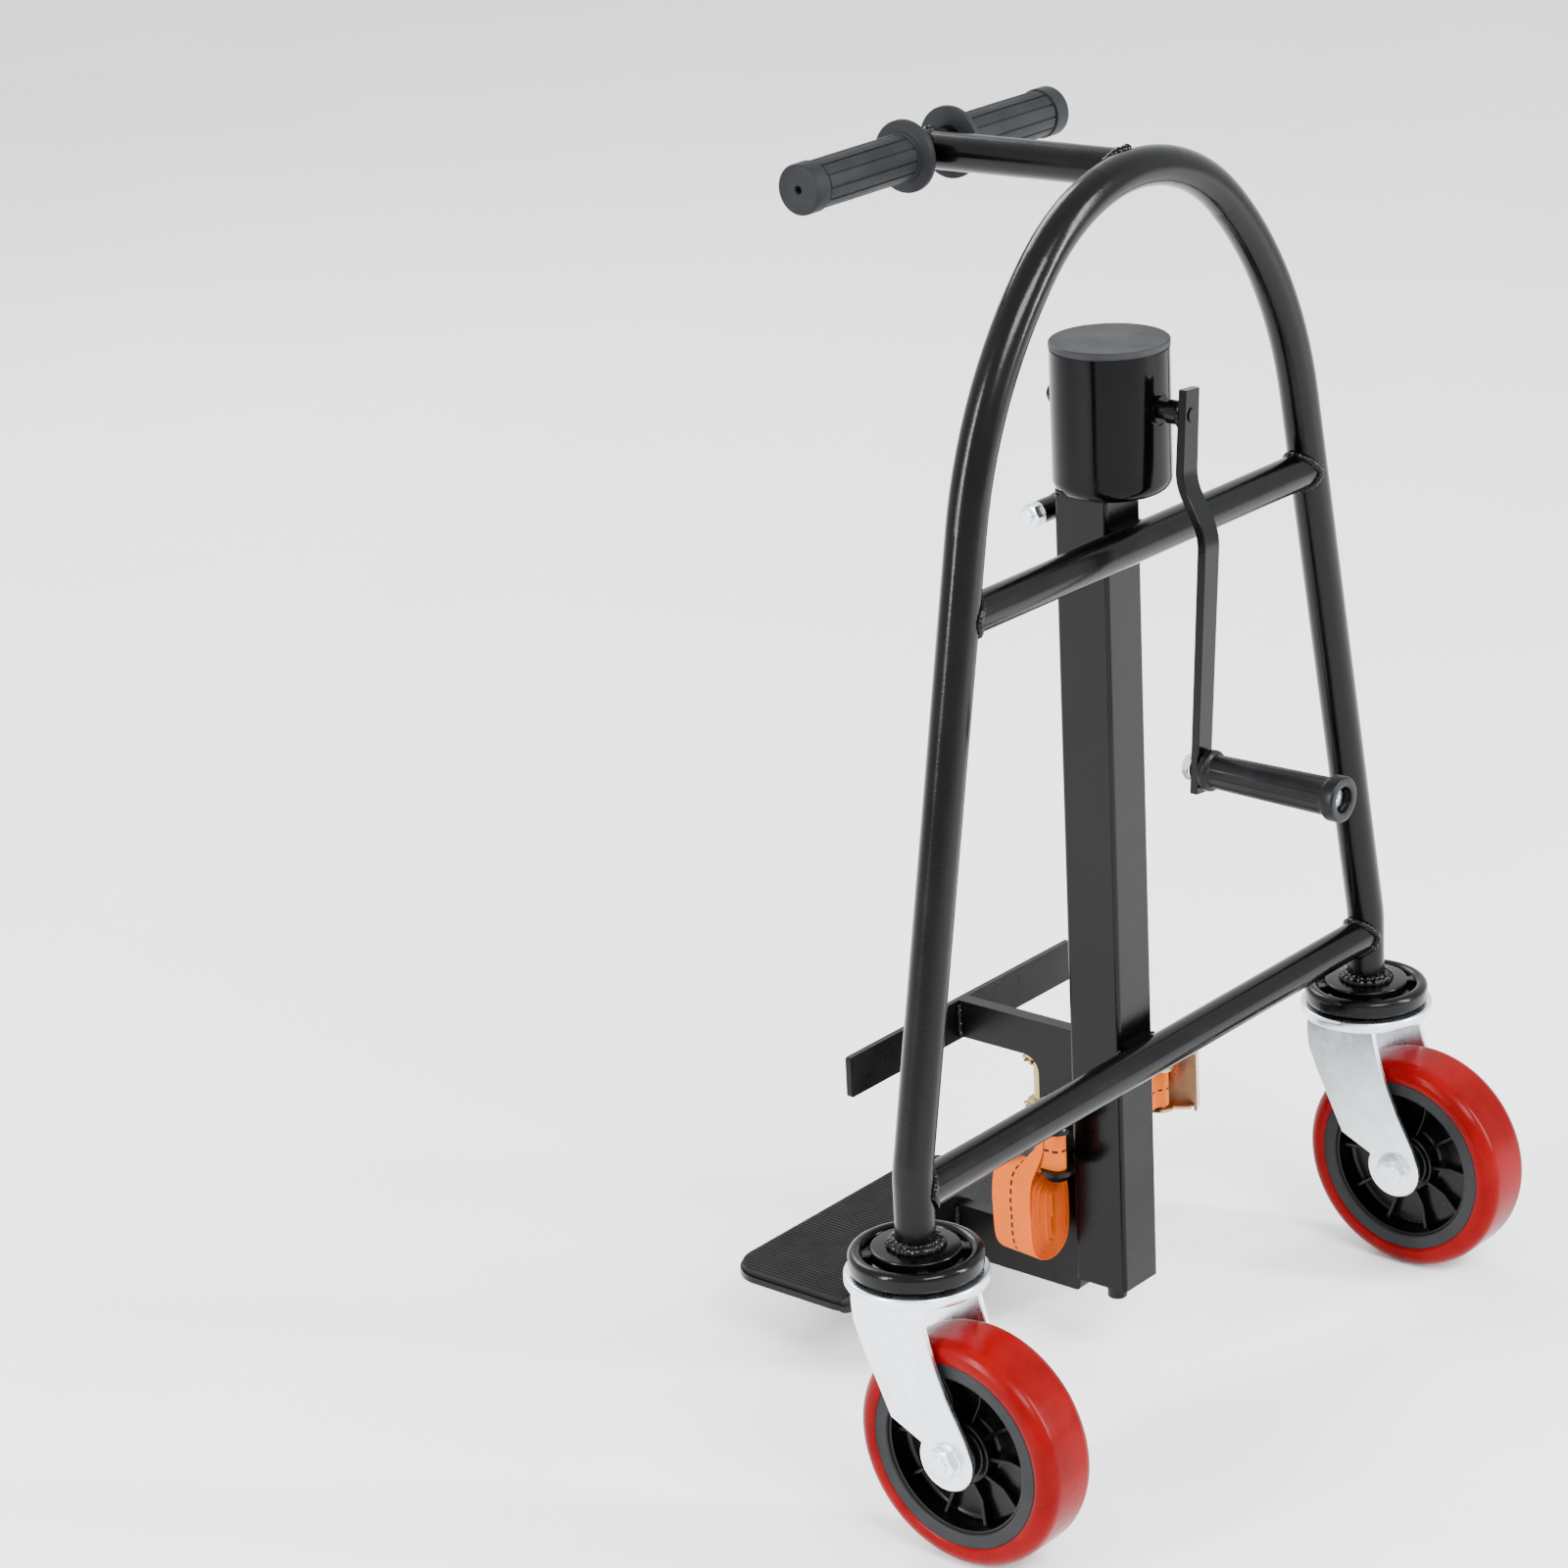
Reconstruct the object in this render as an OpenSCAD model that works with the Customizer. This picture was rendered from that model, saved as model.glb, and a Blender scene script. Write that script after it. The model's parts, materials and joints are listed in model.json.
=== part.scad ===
// Hand-crank lifting dolly: a tubular hoop on two swivel casters with a slotted
// column, a crank-driven screw and a carriage with a toe plate and a ratchet strap.
// Millimetres, +Z up, floor at z = 0. The load stands at -Y, the user at +Y.
// Modules are drawn with the hoop in the plane y = 0; in_place() centres the part.

/* [Hoop] */
// distance between the two caster swivel axes
track = 499; // [440:1:620]
// outside diameter of the hoop tube
tube_d = 25; // [22:1:32]
// wall of the hoop tube
tube_wall = 2; // [1.5:0.5:3.5]
// height of the hoop tube centreline at its top
hoop_top = 811; // [760:1:900]
// centreline radius of the crown bend
crown_r = 139; // [120:1:160]
// sweep of the crown bend to each side, degrees
crown_sweep = 43; // [38:0.5:48]
// centreline radius of the long shoulder bend
shoulder_r = 268; // [240:1:290]
// outward lean of the straight legs, degrees
leg_lean = 11; // [9:0.5:13]
// centreline radius of the small bend above each caster
ankle_r = 60; // [40:1:90]
// diameter of the crossbars and the handle stub
bar_d = 24; // [18:1:24.5]
// height of the upper crossbar
upper_bar_z = 578; // [540:1:585]
// height of the lower crossbar
lower_bar_z = 231.5; // [225:0.5:260]

/* [Column] */
// width of the slotted column
col_w = 37; // [34:1:42]
// depth of the slotted column
col_d = 40; // [38:1:50]
// wall of the column
col_wall = 3; // [2:0.5:4]
// width of the slot in the front of the column
slot_w = 12; // [11:0.5:16]
// height of the open lower end of the column
col_bottom = 65; // [60:1:80]
// distance from the hoop plane back to the column
col_gap = 13.5; // [13:0.5:18]

/* [Gearbox] */
// outside radius of the gear housing
box_r = 37.3; // [37.3:0.1:42]
// height of the underside of the gear housing
box_z = 608; // [608:1:612]
// height of the crank shaft axis
shaft_z = 664; // [662:0.5:668]
// module of the bevel gears
gear_m = 2; // [1.8:0.1:2]
// teeth on the crank pinion
pinion_teeth = 12; // [12:1:12]
// teeth on the screw gear
gear_teeth = 18; // [18:1:18]

/* [Handle] */
// distance from the hoop plane forward to the handle bar
handle_reach = 156.6; // [120:0.1:180]
// downward slope of the handle stub, degrees
handle_droop = 1.3; // [0:0.1:4]
// outside diameter of the handle bar
handle_d = 22; // [20:1:23]
// half length of the handle bar
handle_half = 124; // [110:1:150]
// radius of the rubber grips
grip_r = 15; // [14:0.5:18]

/* [Crank] */
// distance from the shaft axis to the crank grip axis
crank_len = 219.8; // [150:0.1:240]
// lean of the crank at rest, degrees
crank_lean = 5; // [0:1:10]
// width of the crank arm
arm_w = 16; // [14:1:24]
// thickness of the crank arm
arm_t = 6; // [5:0.5:8]

/* [Carriage] */
// half width of the toe plate
toe_half = 112; // [90:1:120]
// how far the toe plate reaches from the hoop plane
toe_reach = 280; // [240:1:320]
// height of the top of the toe plate flange
flange_top = 91; // [80:1:110]
// thickness of the toe plate steel
toe_t = 4.5; // [3:0.5:6]
// thickness of the ribbed rubber pad
pad_t = 3; // [2:0.5:4]
// half length of the flat bar that leans on the load
load_half = 120; // [90:1:125]
// height of the load bar centre
load_z = 222; // [218:1:224]
// thickness of the carriage plate
web_t = 10; // [8:0.5:11]
// radius of the lead screw
screw_r = 8; // [7:0.5:8.5]

/* [Strap] */
// width of the webbing
webbing_w = 25; // [20:1:26]
// height of the middle of the strap lugs
lug_z = 166.5; // [160:0.5:172]
// distance of the strap bolts from the middle of the column
lug_x = 37; // [36:1:46]

/* [Casters] */
// wheel diameter
wheel_d = 150; // [125:1:152]
// wheel width
wheel_w = 45; // [36:1:46]
// distance the axle trails behind the swivel axis
trail = 40; // [30:1:44]
// radius of the swivel cap
cap_r = 42; // [40:0.5:46]

/* [Hidden] */
$fn = 96;
half = track / 2;
hoop_y = 60;
tube_r = tube_d / 2;
bar_r = bar_d / 2;
crown = [0, hoop_top - crown_r];
shoulder = crown + (crown_r - shoulder_r) * [sin(crown_sweep), cos(crown_sweep)];
leg_top = shoulder + shoulder_r * [cos(leg_lean), sin(leg_lean)];
ankle = [half - ankle_r,
         leg_top.y - (half - leg_top.x) / tan(leg_lean) - ankle_r * tan(leg_lean / 2)];
leg_end = ankle + ankle_r * [cos(leg_lean), sin(leg_lean)];
leg_run = norm(leg_top - leg_end);
stem_z = 198;
seam = 0.02;
col_back = -col_gap;
col_front = col_back - col_d;
screw_y = (col_back + col_front) / 2;
col_inner = col_w / 2 - col_wall;
box_y = -21;
box_top = 699;
pinion_pitch = gear_m * pinion_teeth / 2;
gear_pitch = gear_m * gear_teeth / 2;
cone = atan(pinion_pitch / gear_pitch);
cone_len = norm([pinion_pitch, gear_pitch]);
tip_lift = atan(0.7 * gear_m / cone_len);
root_drop = atan(gear_m / cone_len);
face_w = 7;
shaft_r = 5.5;
stub_r = 5;
spigot_r = 4.5;
arm_near = 34;
arm_far = 52;
bolt_y = -66.5;
bolt_z = 590;
plate_back = -60;
plate_front = -89.5;
plate_low = 48;
flange_y = -163;
toe_z = 43;
bend_r = 12;
lug_y = -52;
ratchet_at = [-80, -52];
ratchet_turn = -65.2;
spool_x = 80;
axle_z = wheel_d / 2;
fork_top = 182;
run = 0.05;

hoop();
upper_crossbar();
lower_crossbar();
column_pads();
column();
handle_stub();
handle_bar();
grip_left();
grip_right();
gear_housing();
housing_lid();
shaft_bushes();
screw_top_bush();
screw_foot_block();
cross_bolt_lug();
cross_bolt();
cross_bolt_nut();
bolt_spacers();
caster_caps();
stem_plugs();
kingpins();
swivel_balls();
lead_screw();
bevel_gear();
crank_shaft();
bevel_pinion();
shaft_nut();
crank_arm();
crank_spindle();
spindle_nut();
crank_grip();
carriage_plate();
slider_block();
lift_nut();
load_bar();
toe_plate();
toe_pad();
strap_lugs();
lug_bolts();
lug_nuts();
strap_roll();
strap_short();
ratchet_frame();
ratchet_pins();
ratchet_handle();
handle_pawl();
frame_pawl();
ratchet_spool();
fork_left();
axle_left();
wheel_hub_left();
wheel_rim_left();
tread_left();
fork_right();
axle_right();
wheel_hub_right();
wheel_rim_right();
tread_right();

// ---- placing and simple shapes ----

module in_place() translate([0, hoop_y, 0]) children();

module both_sides() {
    children();
    mirror([1, 0, 0]) children();
}

// lays a drawing made in x, y so that its y points up and it grows towards -Y
module upright(y) translate([0, y, 0]) rotate([90, 0, 0]) children();

// lays a drawing made in (y, z) across the part, centred on x = 0
module across(width) translate([-width / 2, 0, 0]) rotate([90, 0, 90]) linear_extrude(width) children();

module rod_x(r, x0, x1, y, z) translate([x0, y, z]) rotate([0, 90, 0]) cylinder(r = r, h = x1 - x0);

module rod_y(r, y0, y1, x, z) translate([x, y0, z]) rotate([-90, 0, 0]) cylinder(r = r, h = y1 - y0);

module rod_z(r, z0, z1, x, y) translate([x, y, z0]) cylinder(r = r, h = z1 - z0);

module hex(flats, h) cylinder(d = flats / cos(30), h = h, $fn = 6);

module block(x0, x1, y0, y1, z0, z1) translate([x0, y0, z0]) cube([x1 - x0, y1 - y0, z1 - z0]);

module ring(r, wall) difference() {
    circle(r = r);
    circle(r = r - wall);
}

// fills an inside corner at the origin, towards +x and +y, with a radius
module corner(r) difference() {
    square(r);
    translate([r, r]) circle(r = r);
}

// rectangle with four equal corner radii
module rounded(x0, x1, y0, y1, r) {
    translate([x0 + r, y0]) square([x1 - x0 - 2 * r, y1 - y0]);
    translate([x0, y0 + r]) square([x1 - x0, y1 - y0 - 2 * r]);
    for (x = [x0 + r, x1 - r], y = [y0 + r, y1 - r]) translate([x, y]) circle(r = r);
}

// ---- hoop and bars ----

// one bend of the hoop, centred on c and swept between two angles above +X
module bend(c, big_r, from, to, r) translate([c.x, 0, c.y]) rotate([90, 0, 0]) rotate([0, 0, from])
    rotate_extrude(angle = to - from) translate([big_r, 0]) circle(r = r);

// a straight run stops a hair short of the bends that it is tangent to
module leg(r) translate([leg_top.x, 0, leg_top.y]) rotate([0, 180 - leg_lean, 0])
    translate([0, 0, seam]) cylinder(r = r, h = leg_run - 2 * seam);

module stem(r) translate([half, 0, stem_z]) cylinder(r = r, h = ankle.y - stem_z - seam);

module hoop_rod(r) {
    for (from = [90 - crown_sweep:crown_sweep * 2 / 3:90 + crown_sweep / 2])
        bend(crown, crown_r, from, from + crown_sweep * 2 / 3 - seam, r);
    both_sides() {
        bend(shoulder, shoulder_r, leg_lean, 90 - crown_sweep - seam, r);
        leg(r);
        bend(ankle, ankle_r, 0, leg_lean, r);
        stem(r);
    }
}

module hoop() color("#1a1b1d") in_place() difference() {
    hoop_rod(tube_r);
    hoop_rod(tube_r - tube_wall);
}

module bar_x(r, z, reach) difference() {
    rod_x(r, -reach, reach, 0, z);
    rod_x(r - tube_wall, -reach - 1, reach + 1, 0, z);
}

module upper_crossbar() color("#1a1b1d") in_place() difference() {
    bar_x(bar_r, upper_bar_z, leg_top.x + (leg_top.y - upper_bar_z) * tan(leg_lean));
    both_sides() leg(tube_r);
}

module lower_crossbar() color("#1a1b1d") in_place() difference() {
    bar_x(bar_r, lower_bar_z, half);
    both_sides() {
        stem(tube_r);
        bend(ankle, ankle_r, 0, leg_lean, tube_r);
    }
}

module column_pads() color("#1a1b1d") in_place() difference() {
    for (z = [upper_bar_z, lower_bar_z]) block(-14, 14, col_back, -8, z - 8, z + 8);
    for (z = [upper_bar_z, lower_bar_z]) rod_x(bar_r, -20, 20, 0, z);
}

module column() color("#1a1b1d") in_place() translate([0, 0, col_bottom])
    linear_extrude(box_z - col_bottom) difference() {
        rounded(-col_w / 2, col_w / 2, col_front, col_back, 3);
        translate([col_wall - col_w / 2, col_front + col_wall])
            square([col_w - 2 * col_wall, col_d - 2 * col_wall]);
        translate([-slot_w / 2, col_front - 1]) square([slot_w, col_wall + 2]);
    }

// ---- T handle ----

module handle_tilt() translate([0, 0, hoop_top]) rotate([handle_droop, 0, 0]) children();

module handle_stub() color("#1a1b1d") in_place() difference() {
    handle_tilt() rod_y(bar_r, -handle_reach, 0, 0, 0);
    handle_tilt() rod_y(bar_r - tube_wall, -handle_reach - 1, 1, 0, 0);
    handle_tilt() rod_x(handle_d / 2, -20, 20, -handle_reach, 0);
    bend(crown, crown_r, 80, 100, tube_r);
}

module handle_bar() color("#1a1b1d") in_place() handle_tilt() difference() {
    rod_x(handle_d / 2, -handle_half, handle_half, -handle_reach, 0);
    rod_x(handle_d / 2 - tube_wall, -handle_half - 1, handle_half + 1, -handle_reach, 0);
}

module grip() difference() {
    union() {
        rod_x(23, 20.5, 25.5, -handle_reach, 0);
        rod_x(grip_r, 25.5, handle_half - 9, -handle_reach, 0);
        rod_x(grip_r + 1, handle_half - 9, handle_half + 3, -handle_reach, 0);
    }
    rod_x(handle_d / 2, 20, handle_half, -handle_reach, 0);
    rod_x(2.5, handle_half - 1, handle_half + 4, -handle_reach, 0);
}

module grip_left() color("#3c3e40") in_place() handle_tilt() mirror([1, 0, 0]) grip();

module grip_right() color("#3c3e40") in_place() handle_tilt() grip();

// ---- gear housing and bearings ----

module shell_profile(r, floor_z, edge) {
    translate([0, floor_z]) square([r - edge, box_top - floor_z]);
    translate([0, floor_z + edge]) square([r, box_top - floor_z - edge]);
    translate([r - edge, floor_z + edge]) circle(r = edge);
}

module gear_housing() color("#151617") in_place() difference() {
    translate([0, box_y, 0]) rotate_extrude() intersection() {
        shell_profile(box_r, box_z, 9);
        square([box_r + 1, box_top + 1]);
    }
    translate([0, box_y, 0]) cylinder(r = box_r - 12, h = box_top + 1);
    translate([0, box_y, box_z + 12]) cylinder(r = box_r - 3, h = box_top);
    rod_y(10, 0, 20, 0, shaft_z);
    rod_y(8, box_y - 40, box_y, 0, shaft_z);
}

module housing_lid() color("#4a4b4d") in_place() translate([0, box_y, 0]) {
    rod_z(box_r - 3, box_top - 4, box_top, 0, 0);
    rod_z(box_r - 0.8, box_top, box_top + 1, 0, 0);
    rod_z(box_r + 0.3, box_top + 1, box_top + 4.2, 0, 0);
    translate([0, 0, box_top + 4.2]) cylinder(r1 = box_r + 0.3, r2 = box_r - 0.5, h = 0.8);
}

module shaft_bushes() color("#151617") in_place() {
    difference() {
        union() {
            rod_y(10, 9, 15.5, 0, shaft_z);
            rod_y(8.5, 15.5, 17.5, 0, shaft_z);
        }
        rod_y(shaft_r + run, 8, 22, 0, shaft_z);
    }
    difference() {
        rod_y(8, box_y - 37.3, box_y - 28, 0, shaft_z);
        rod_y(stub_r + run, box_y - 39, box_y - 27, 0, shaft_z);
    }
}

module screw_top_bush() color("#b08d4a") in_place() difference() {
    union() {
        block(-col_inner, col_inner, col_front + col_wall, col_back - col_wall, box_z - 12, box_z);
        rod_z(12, box_z, box_z + 9, 0, screw_y);
    }
    rod_z(6 + run, box_z - 13, box_z + 10, 0, screw_y);
}

module screw_foot_block() color("#8d9196") in_place() difference() {
    block(-col_inner, col_inner, col_front + col_wall, col_back - col_wall, col_bottom, col_bottom + 15);
    rod_z(6 + run, col_bottom - 1, col_bottom + 16, 0, screw_y);
}

// ---- cross bolt under the gearbox ----

module cross_bolt_lug() color("#1a1b1d") in_place() difference() {
    union() {
        block(-8, -3, bolt_y, col_front, bolt_z - 8, bolt_z + 8);
        rod_x(8, -8, -3, bolt_y, bolt_z);
    }
    rod_x(4.2, -9, -2, bolt_y, bolt_z);
}

module cross_bolt() color("#c9ccd0") in_place() {
    rod_x(4, -32, 29, bolt_y, bolt_z);
    translate([-37.3, bolt_y, bolt_z]) rotate([0, 90, 0]) hex(13, 5.3);
}

module cross_bolt_nut() color("#c9ccd0") in_place() difference() {
    union() {
        rod_x(8, 18.5, 20, bolt_y, bolt_z);
        translate([20, bolt_y, bolt_z]) rotate([0, 90, 0]) hex(13, 6.5);
    }
    rod_x(4, 18, 27, bolt_y, bolt_z);
}

module bolt_spacers() color("#232425") in_place() {
    difference() {
        rod_x(6.5, -32, -8, bolt_y, bolt_z);
        rod_x(4.2, -33, -7, bolt_y, bolt_z);
    }
    difference() {
        rod_x(7.5, -3, 18.5, bolt_y, bolt_z);
        rod_x(4.2, -4, 19, bolt_y, bolt_z);
    }
}

// ---- caster tops, fixed to the legs ----

module cap_profile() {
    translate([6, 182.3]) square([11, 6]);
    translate([6, 188.3]) square([cap_r - 6 - 9, 3]);
    translate([6, 191]) square([22, stem_z - 191]);
    translate([26.5, 184]) square([cap_r - 26.5, 4.3]);
    translate([cap_r - 9, 188]) square([9, 4.5]);
    translate([cap_r - 4.5, 192.5]) circle(r = 4.5);
}

module caster_caps() color("#1a1b1d") in_place() both_sides()
    translate([half, 0, 0]) rotate_extrude() cap_profile();

module stem_plugs() color("#8d9196") in_place() both_sides() difference() {
    rod_z(tube_r - tube_wall, stem_z, stem_z + 18, half, 0);
    rod_z(6, stem_z - 1, stem_z + 19, half, 0);
}

module kingpins() color("#c9ccd0") in_place() both_sides() {
    rod_z(6, 172, stem_z + 18, half, 0);
    rod_z(11, 171, 173.7, half, 0);
    translate([half, 0, 164]) hex(19, 7);
}

module swivel_balls() color("#c9ccd0") in_place() both_sides()
    for (i = [0:15]) translate([half, 0, 185.3]) rotate([0, 0, i * 22.5])
        translate([22, 0, 0]) sphere(r = 2.9, $fn = 32);

// ---- bevel gears and screw ----

// outline of one straight bevel gear on its large end plane
module gear_outline(teeth, root, pitch, tip, root_a, pitch_a, tip_a) {
    circle(r = root, $fn = 3 * teeth);
    for (i = [0:teeth - 1]) rotate([0, 0, i * 360 / teeth]) polygon([
        [(root - 1) * cos(root_a), -(root - 1) * sin(root_a)],
        [root * cos(root_a), -root * sin(root_a)],
        [pitch * cos(pitch_a), -pitch * sin(pitch_a)],
        [tip * cos(tip_a), -tip * sin(tip_a)],
        [tip * cos(tip_a), tip * sin(tip_a)],
        [pitch * cos(pitch_a), pitch * sin(pitch_a)],
        [root * cos(root_a), root * sin(root_a)],
        [(root - 1) * cos(root_a), (root - 1) * sin(root_a)]]);
}

module lead_screw() color("#a9adb2") in_place() translate([0, screw_y, 0]) {
    rod_z(6.6, 50, col_bottom - 2, 0, 0);
    rod_z(6, col_bottom - 2, 81, 0, 0);
    rod_z(screw_r, 81, 595, 0, 0);
    rod_z(6, 595, shaft_z - 9, 0, 0);
}

module bevel_gear() color("#8d9196") in_place() translate([0, screw_y, 0]) difference() {
    union() {
        translate([0, 0, shaft_z - pinion_pitch]) rotate([0, 0, 100])
            linear_extrude(height = face_w * sin(cone), scale = 1 - face_w / cone_len)
                gear_outline(gear_teeth, pinion_pitch * tan(90 - cone - root_drop), gear_pitch,
                             pinion_pitch * tan(90 - cone + tip_lift), 6.6, 4, 2.3);
        rod_z(12, box_z + 9.5, shaft_z - pinion_pitch, 0, 0);
    }
    rod_z(6, box_z, shaft_z, 0, 0);
}

// ---- crank, drawn hanging straight down and leaned by at_rest() ----

module at_rest() translate([0, 0, shaft_z]) rotate([0, -crank_lean, 0]) children();

module crank_shaft() color("#1a1b1d") in_place() {
    rod_y(stub_r, -66.5, -5, 0, shaft_z);
    rod_y(shaft_r, -5, 24, 0, shaft_z);
    rod_y(7.5, 24, arm_near, 0, shaft_z);
    rod_y(spigot_r, arm_near, arm_near + arm_t + 0.8, 0, shaft_z);
}

module bevel_pinion() color("#8d9196") in_place() translate([0, 0, shaft_z]) difference() {
    union() {
        translate([0, screw_y + gear_pitch, 0]) rotate([90, 90, 0])
            linear_extrude(height = face_w * cos(cone), scale = 1 - face_w / cone_len)
                gear_outline(pinion_teeth, gear_pitch * tan(cone - root_drop), pinion_pitch,
                             gear_pitch * tan(cone + tip_lift), 10.6, 6, 3.2);
        rod_y(9.4, screw_y + gear_pitch, -5, 0, 0);
    }
    rod_y(stub_r, screw_y, 0, 0, 0);
}

module shaft_nut() color("#c9ccd0") in_place() translate([0, -65, shaft_z]) rotate([-90, 0, 0])
    difference() {
        union() {
            hex(13, 5);
            translate([0, 0, 5]) cylinder(r = 8, h = 1.4);
        }
        translate([0, 0, -1]) cylinder(r = stub_r, h = 9);
    }

module crank_arm() color("#1a1b1d") in_place() at_rest() difference() {
    across(arm_w) polygon([[arm_near, 16], [arm_near + arm_t, 16], [arm_near + arm_t, -41],
                           [arm_far + arm_t, -71], [arm_far + arm_t, -crank_len - 15],
                           [arm_far, -crank_len - 15], [arm_far, -73.5], [arm_near, -43.5]]);
    rod_y(spigot_r, arm_near - 1, arm_near + arm_t + 1, 0, 0);
    rod_y(5, arm_far - 1, arm_far + arm_t + 1, 0, -crank_len);
}

module crank_spindle() color("#c9ccd0") in_place() at_rest() translate([0, 0, -crank_len]) {
    rod_y(5, arm_far - 8, 150, 0, 0);
    rod_y(7.4, 150, 155, 0, 0);
}

module spindle_nut() color("#c9ccd0") in_place() at_rest()
    translate([0, arm_far - 6.5, -crank_len]) rotate([-90, 0, 0]) difference() {
        hex(15, 6.5);
        translate([0, 0, -1]) cylinder(r = 5, h = 9);
    }

module crank_grip() color("#3c3e40") in_place() at_rest() translate([0, 0, -crank_len]) difference() {
    union() {
        rod_y(13, 60, 66, 0, 0);
        translate([0, 66, 0]) rotate([-90, 0, 0]) cylinder(r1 = 10.5, r2 = 12, h = 85);
        rod_y(14.2, 151, 160, 0, 0);
    }
    rod_y(5 + run, 59, 150, 0, 0);
    rod_y(8, 149.5, 161, 0, 0);
}

// ---- carriage ----

module web_outline() {
    translate([-154, load_z - 12]) square([154 - 50.2, 26]);
    translate([plate_back, 105]) square([-50.2 - plate_back, 110]);
    translate([plate_front, plate_low + 4]) square([plate_back - plate_front, 170]);
    translate([flange_y, plate_low]) square([plate_back - 4 - flange_y, 37]);
    translate([plate_back - 4, plate_low + 4]) circle(r = 4);
    translate([plate_front, plate_low + 37]) rotate([0, 0, 90]) corner(10);
    translate([plate_front, load_z - 12]) rotate([0, 0, 180]) corner(12);
}

module carriage_plate() color("#1f2022") in_place() across(web_t) web_outline();

module slider_block() color("#8d9196") in_place() difference() {
    block(0.3 - col_inner, col_inner - 0.3, -50.2, -16.8, 100, load_z + 14);
    rod_z(screw_r + 1, 99, 191, 0, screw_y);
    rod_z(11, 190, load_z + 15, 0, screw_y);
}

module lift_nut() color("#c2a04f") in_place() difference() {
    rod_z(11, 190, 235, 0, screw_y);
    rod_z(screw_r + run, 189, 236, 0, screw_y);
}

module load_bar() color("#2a2b2d") in_place() upright(-154) linear_extrude(4)
    rounded(-load_half, load_half, load_z - 14, load_z + 14, 2);

// bent sheet of the toe plate; inset draws the pad lying on it
module toe_sheet(t, start, half_w, reach, top, edge, front_r) {
    c = bend_r + toe_t;
    translate([0, 0, toe_z + start]) linear_extrude(t) difference() {
        rounded(-half_w, half_w, -reach, flange_y, front_r);
        translate([-half_w - 1, flange_y - c]) square([2 * half_w + 2, c + 1]);
    }
    translate([0, flange_y - c, toe_z + c]) across(2 * half_w) intersection() {
        ring(c - start, t);
        translate([0, -c]) square(c);
    }
    translate([0, flange_y - start, 0]) rotate([90, 0, 0]) linear_extrude(t) difference() {
        rounded(-half_w, half_w, toe_z + c - 2 * edge, top, edge);
        translate([-half_w - 1, toe_z + c - 2 * edge - 1]) square([2 * half_w + 2, 2 * edge + 1]);
    }
}

module toe_plate() color("#1f2022") in_place()
    toe_sheet(toe_t, 0, toe_half, toe_reach, flange_top, 30, 25);

module toe_pad() color("#2b2c2d") in_place()
    toe_sheet(pad_t, toe_t, toe_half - 1.5, toe_reach - 1.5, flange_top - 1.5, 29, 24);

// ---- strap lugs and webbing ----

module strap_lugs() color("#1f2022") in_place() both_sides()
    for (z = [lug_z - 16.5, lug_z + 13.5]) translate([0, 0, z]) linear_extrude(3) difference() {
        union() {
            polygon([[web_t / 2, -87], [web_t / 2, -61], [21, -60], [lug_x - 7, -43.5], [lug_x + 7, -60.5]]);
            translate([lug_x, lug_y]) circle(r = 11);
        }
        translate([lug_x, lug_y]) circle(r = 4);
    }

module lug_bolts() color("#c9ccd0") in_place() both_sides() {
    rod_z(4, lug_z - 17, lug_z + 25, lug_x, lug_y);
    translate([lug_x, lug_y, lug_z - 21.5]) hex(13, 5);
}

module lug_nuts() color("#c9ccd0") in_place() both_sides() translate([lug_x, lug_y, lug_z + 16.5])
    difference() {
        union() {
            cylinder(r = 8, h = 1.4);
            hex(13, 7.5);
        }
        translate([0, 0, -1]) cylinder(r = 4, h = 10);
    }

module strap_roll() color("#e8742c") in_place() difference() {
    union() {
        translate([30, -80, 0]) rotate([0, 0, -5]) {
            rod_y(19.5, -17, 17, 0, 128);
            rod_y(19.5, -17, 17, 0, 101);
            block(-19.5, 19.5, -17, 17, 101, 128);
        }
        block(41, 43.5, -88, -66, 125, 179);
        block(41, 43.5, -69, lug_y, 154, 179);
        rod_z(6.5, 154, 179, lug_x, lug_y);
    }
    rod_z(4.3, 153, 180, lug_x, lug_y);
}

// ---- ratchet, drawn along its own x axis from the short-strap pin ----

module ratchet() in_place() translate([ratchet_at.x, ratchet_at.y, lug_z])
    rotate([0, 0, ratchet_turn]) children();

module strap_short() color("#e8742c") in_place() translate([0, 0, lug_z - webbing_w / 2]) {
    reach = norm([-lug_x, lug_y] - ratchet_at);
    turn = atan2(ratchet_at.y - lug_y, ratchet_at.x + lug_x);
    translate([-lug_x, lug_y]) rotate([0, 0, turn]) linear_extrude(webbing_w) difference() {
        union() {
            circle(r = 6.5);
            translate([0, -1.7]) square([reach, 3.4]);
            translate([reach, 0]) circle(r = 5.5);
        }
        circle(r = 4.3);
        translate([reach, 0]) circle(r = 3);
    }
}

module frame_side() difference() {
    union() {
        circle(r = 8);
        translate([0, -1]) square([spool_x - 6, 9]);
        translate([20, -1]) square([spool_x - 28, 17]);
        translate([spool_x, 0]) circle(r = 10.5);
    }
    translate([spool_x, 0]) circle(r = 7 + run);
    translate([spool_x, 0]) rotate([0, 0, 165]) translate([9, -1.5]) square([18, 3]);
}

module ratchet_frame() color("#b9a48c") ratchet() {
    for (z = [-15.5, 13.5]) translate([0, 0, z]) linear_extrude(2) difference() {
        frame_side();
        circle(r = 3);
        translate([30, 5]) circle(r = 2.5);
    }
    block(20, 62, 14, 16, -13.5, 13.5);
}

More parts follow.
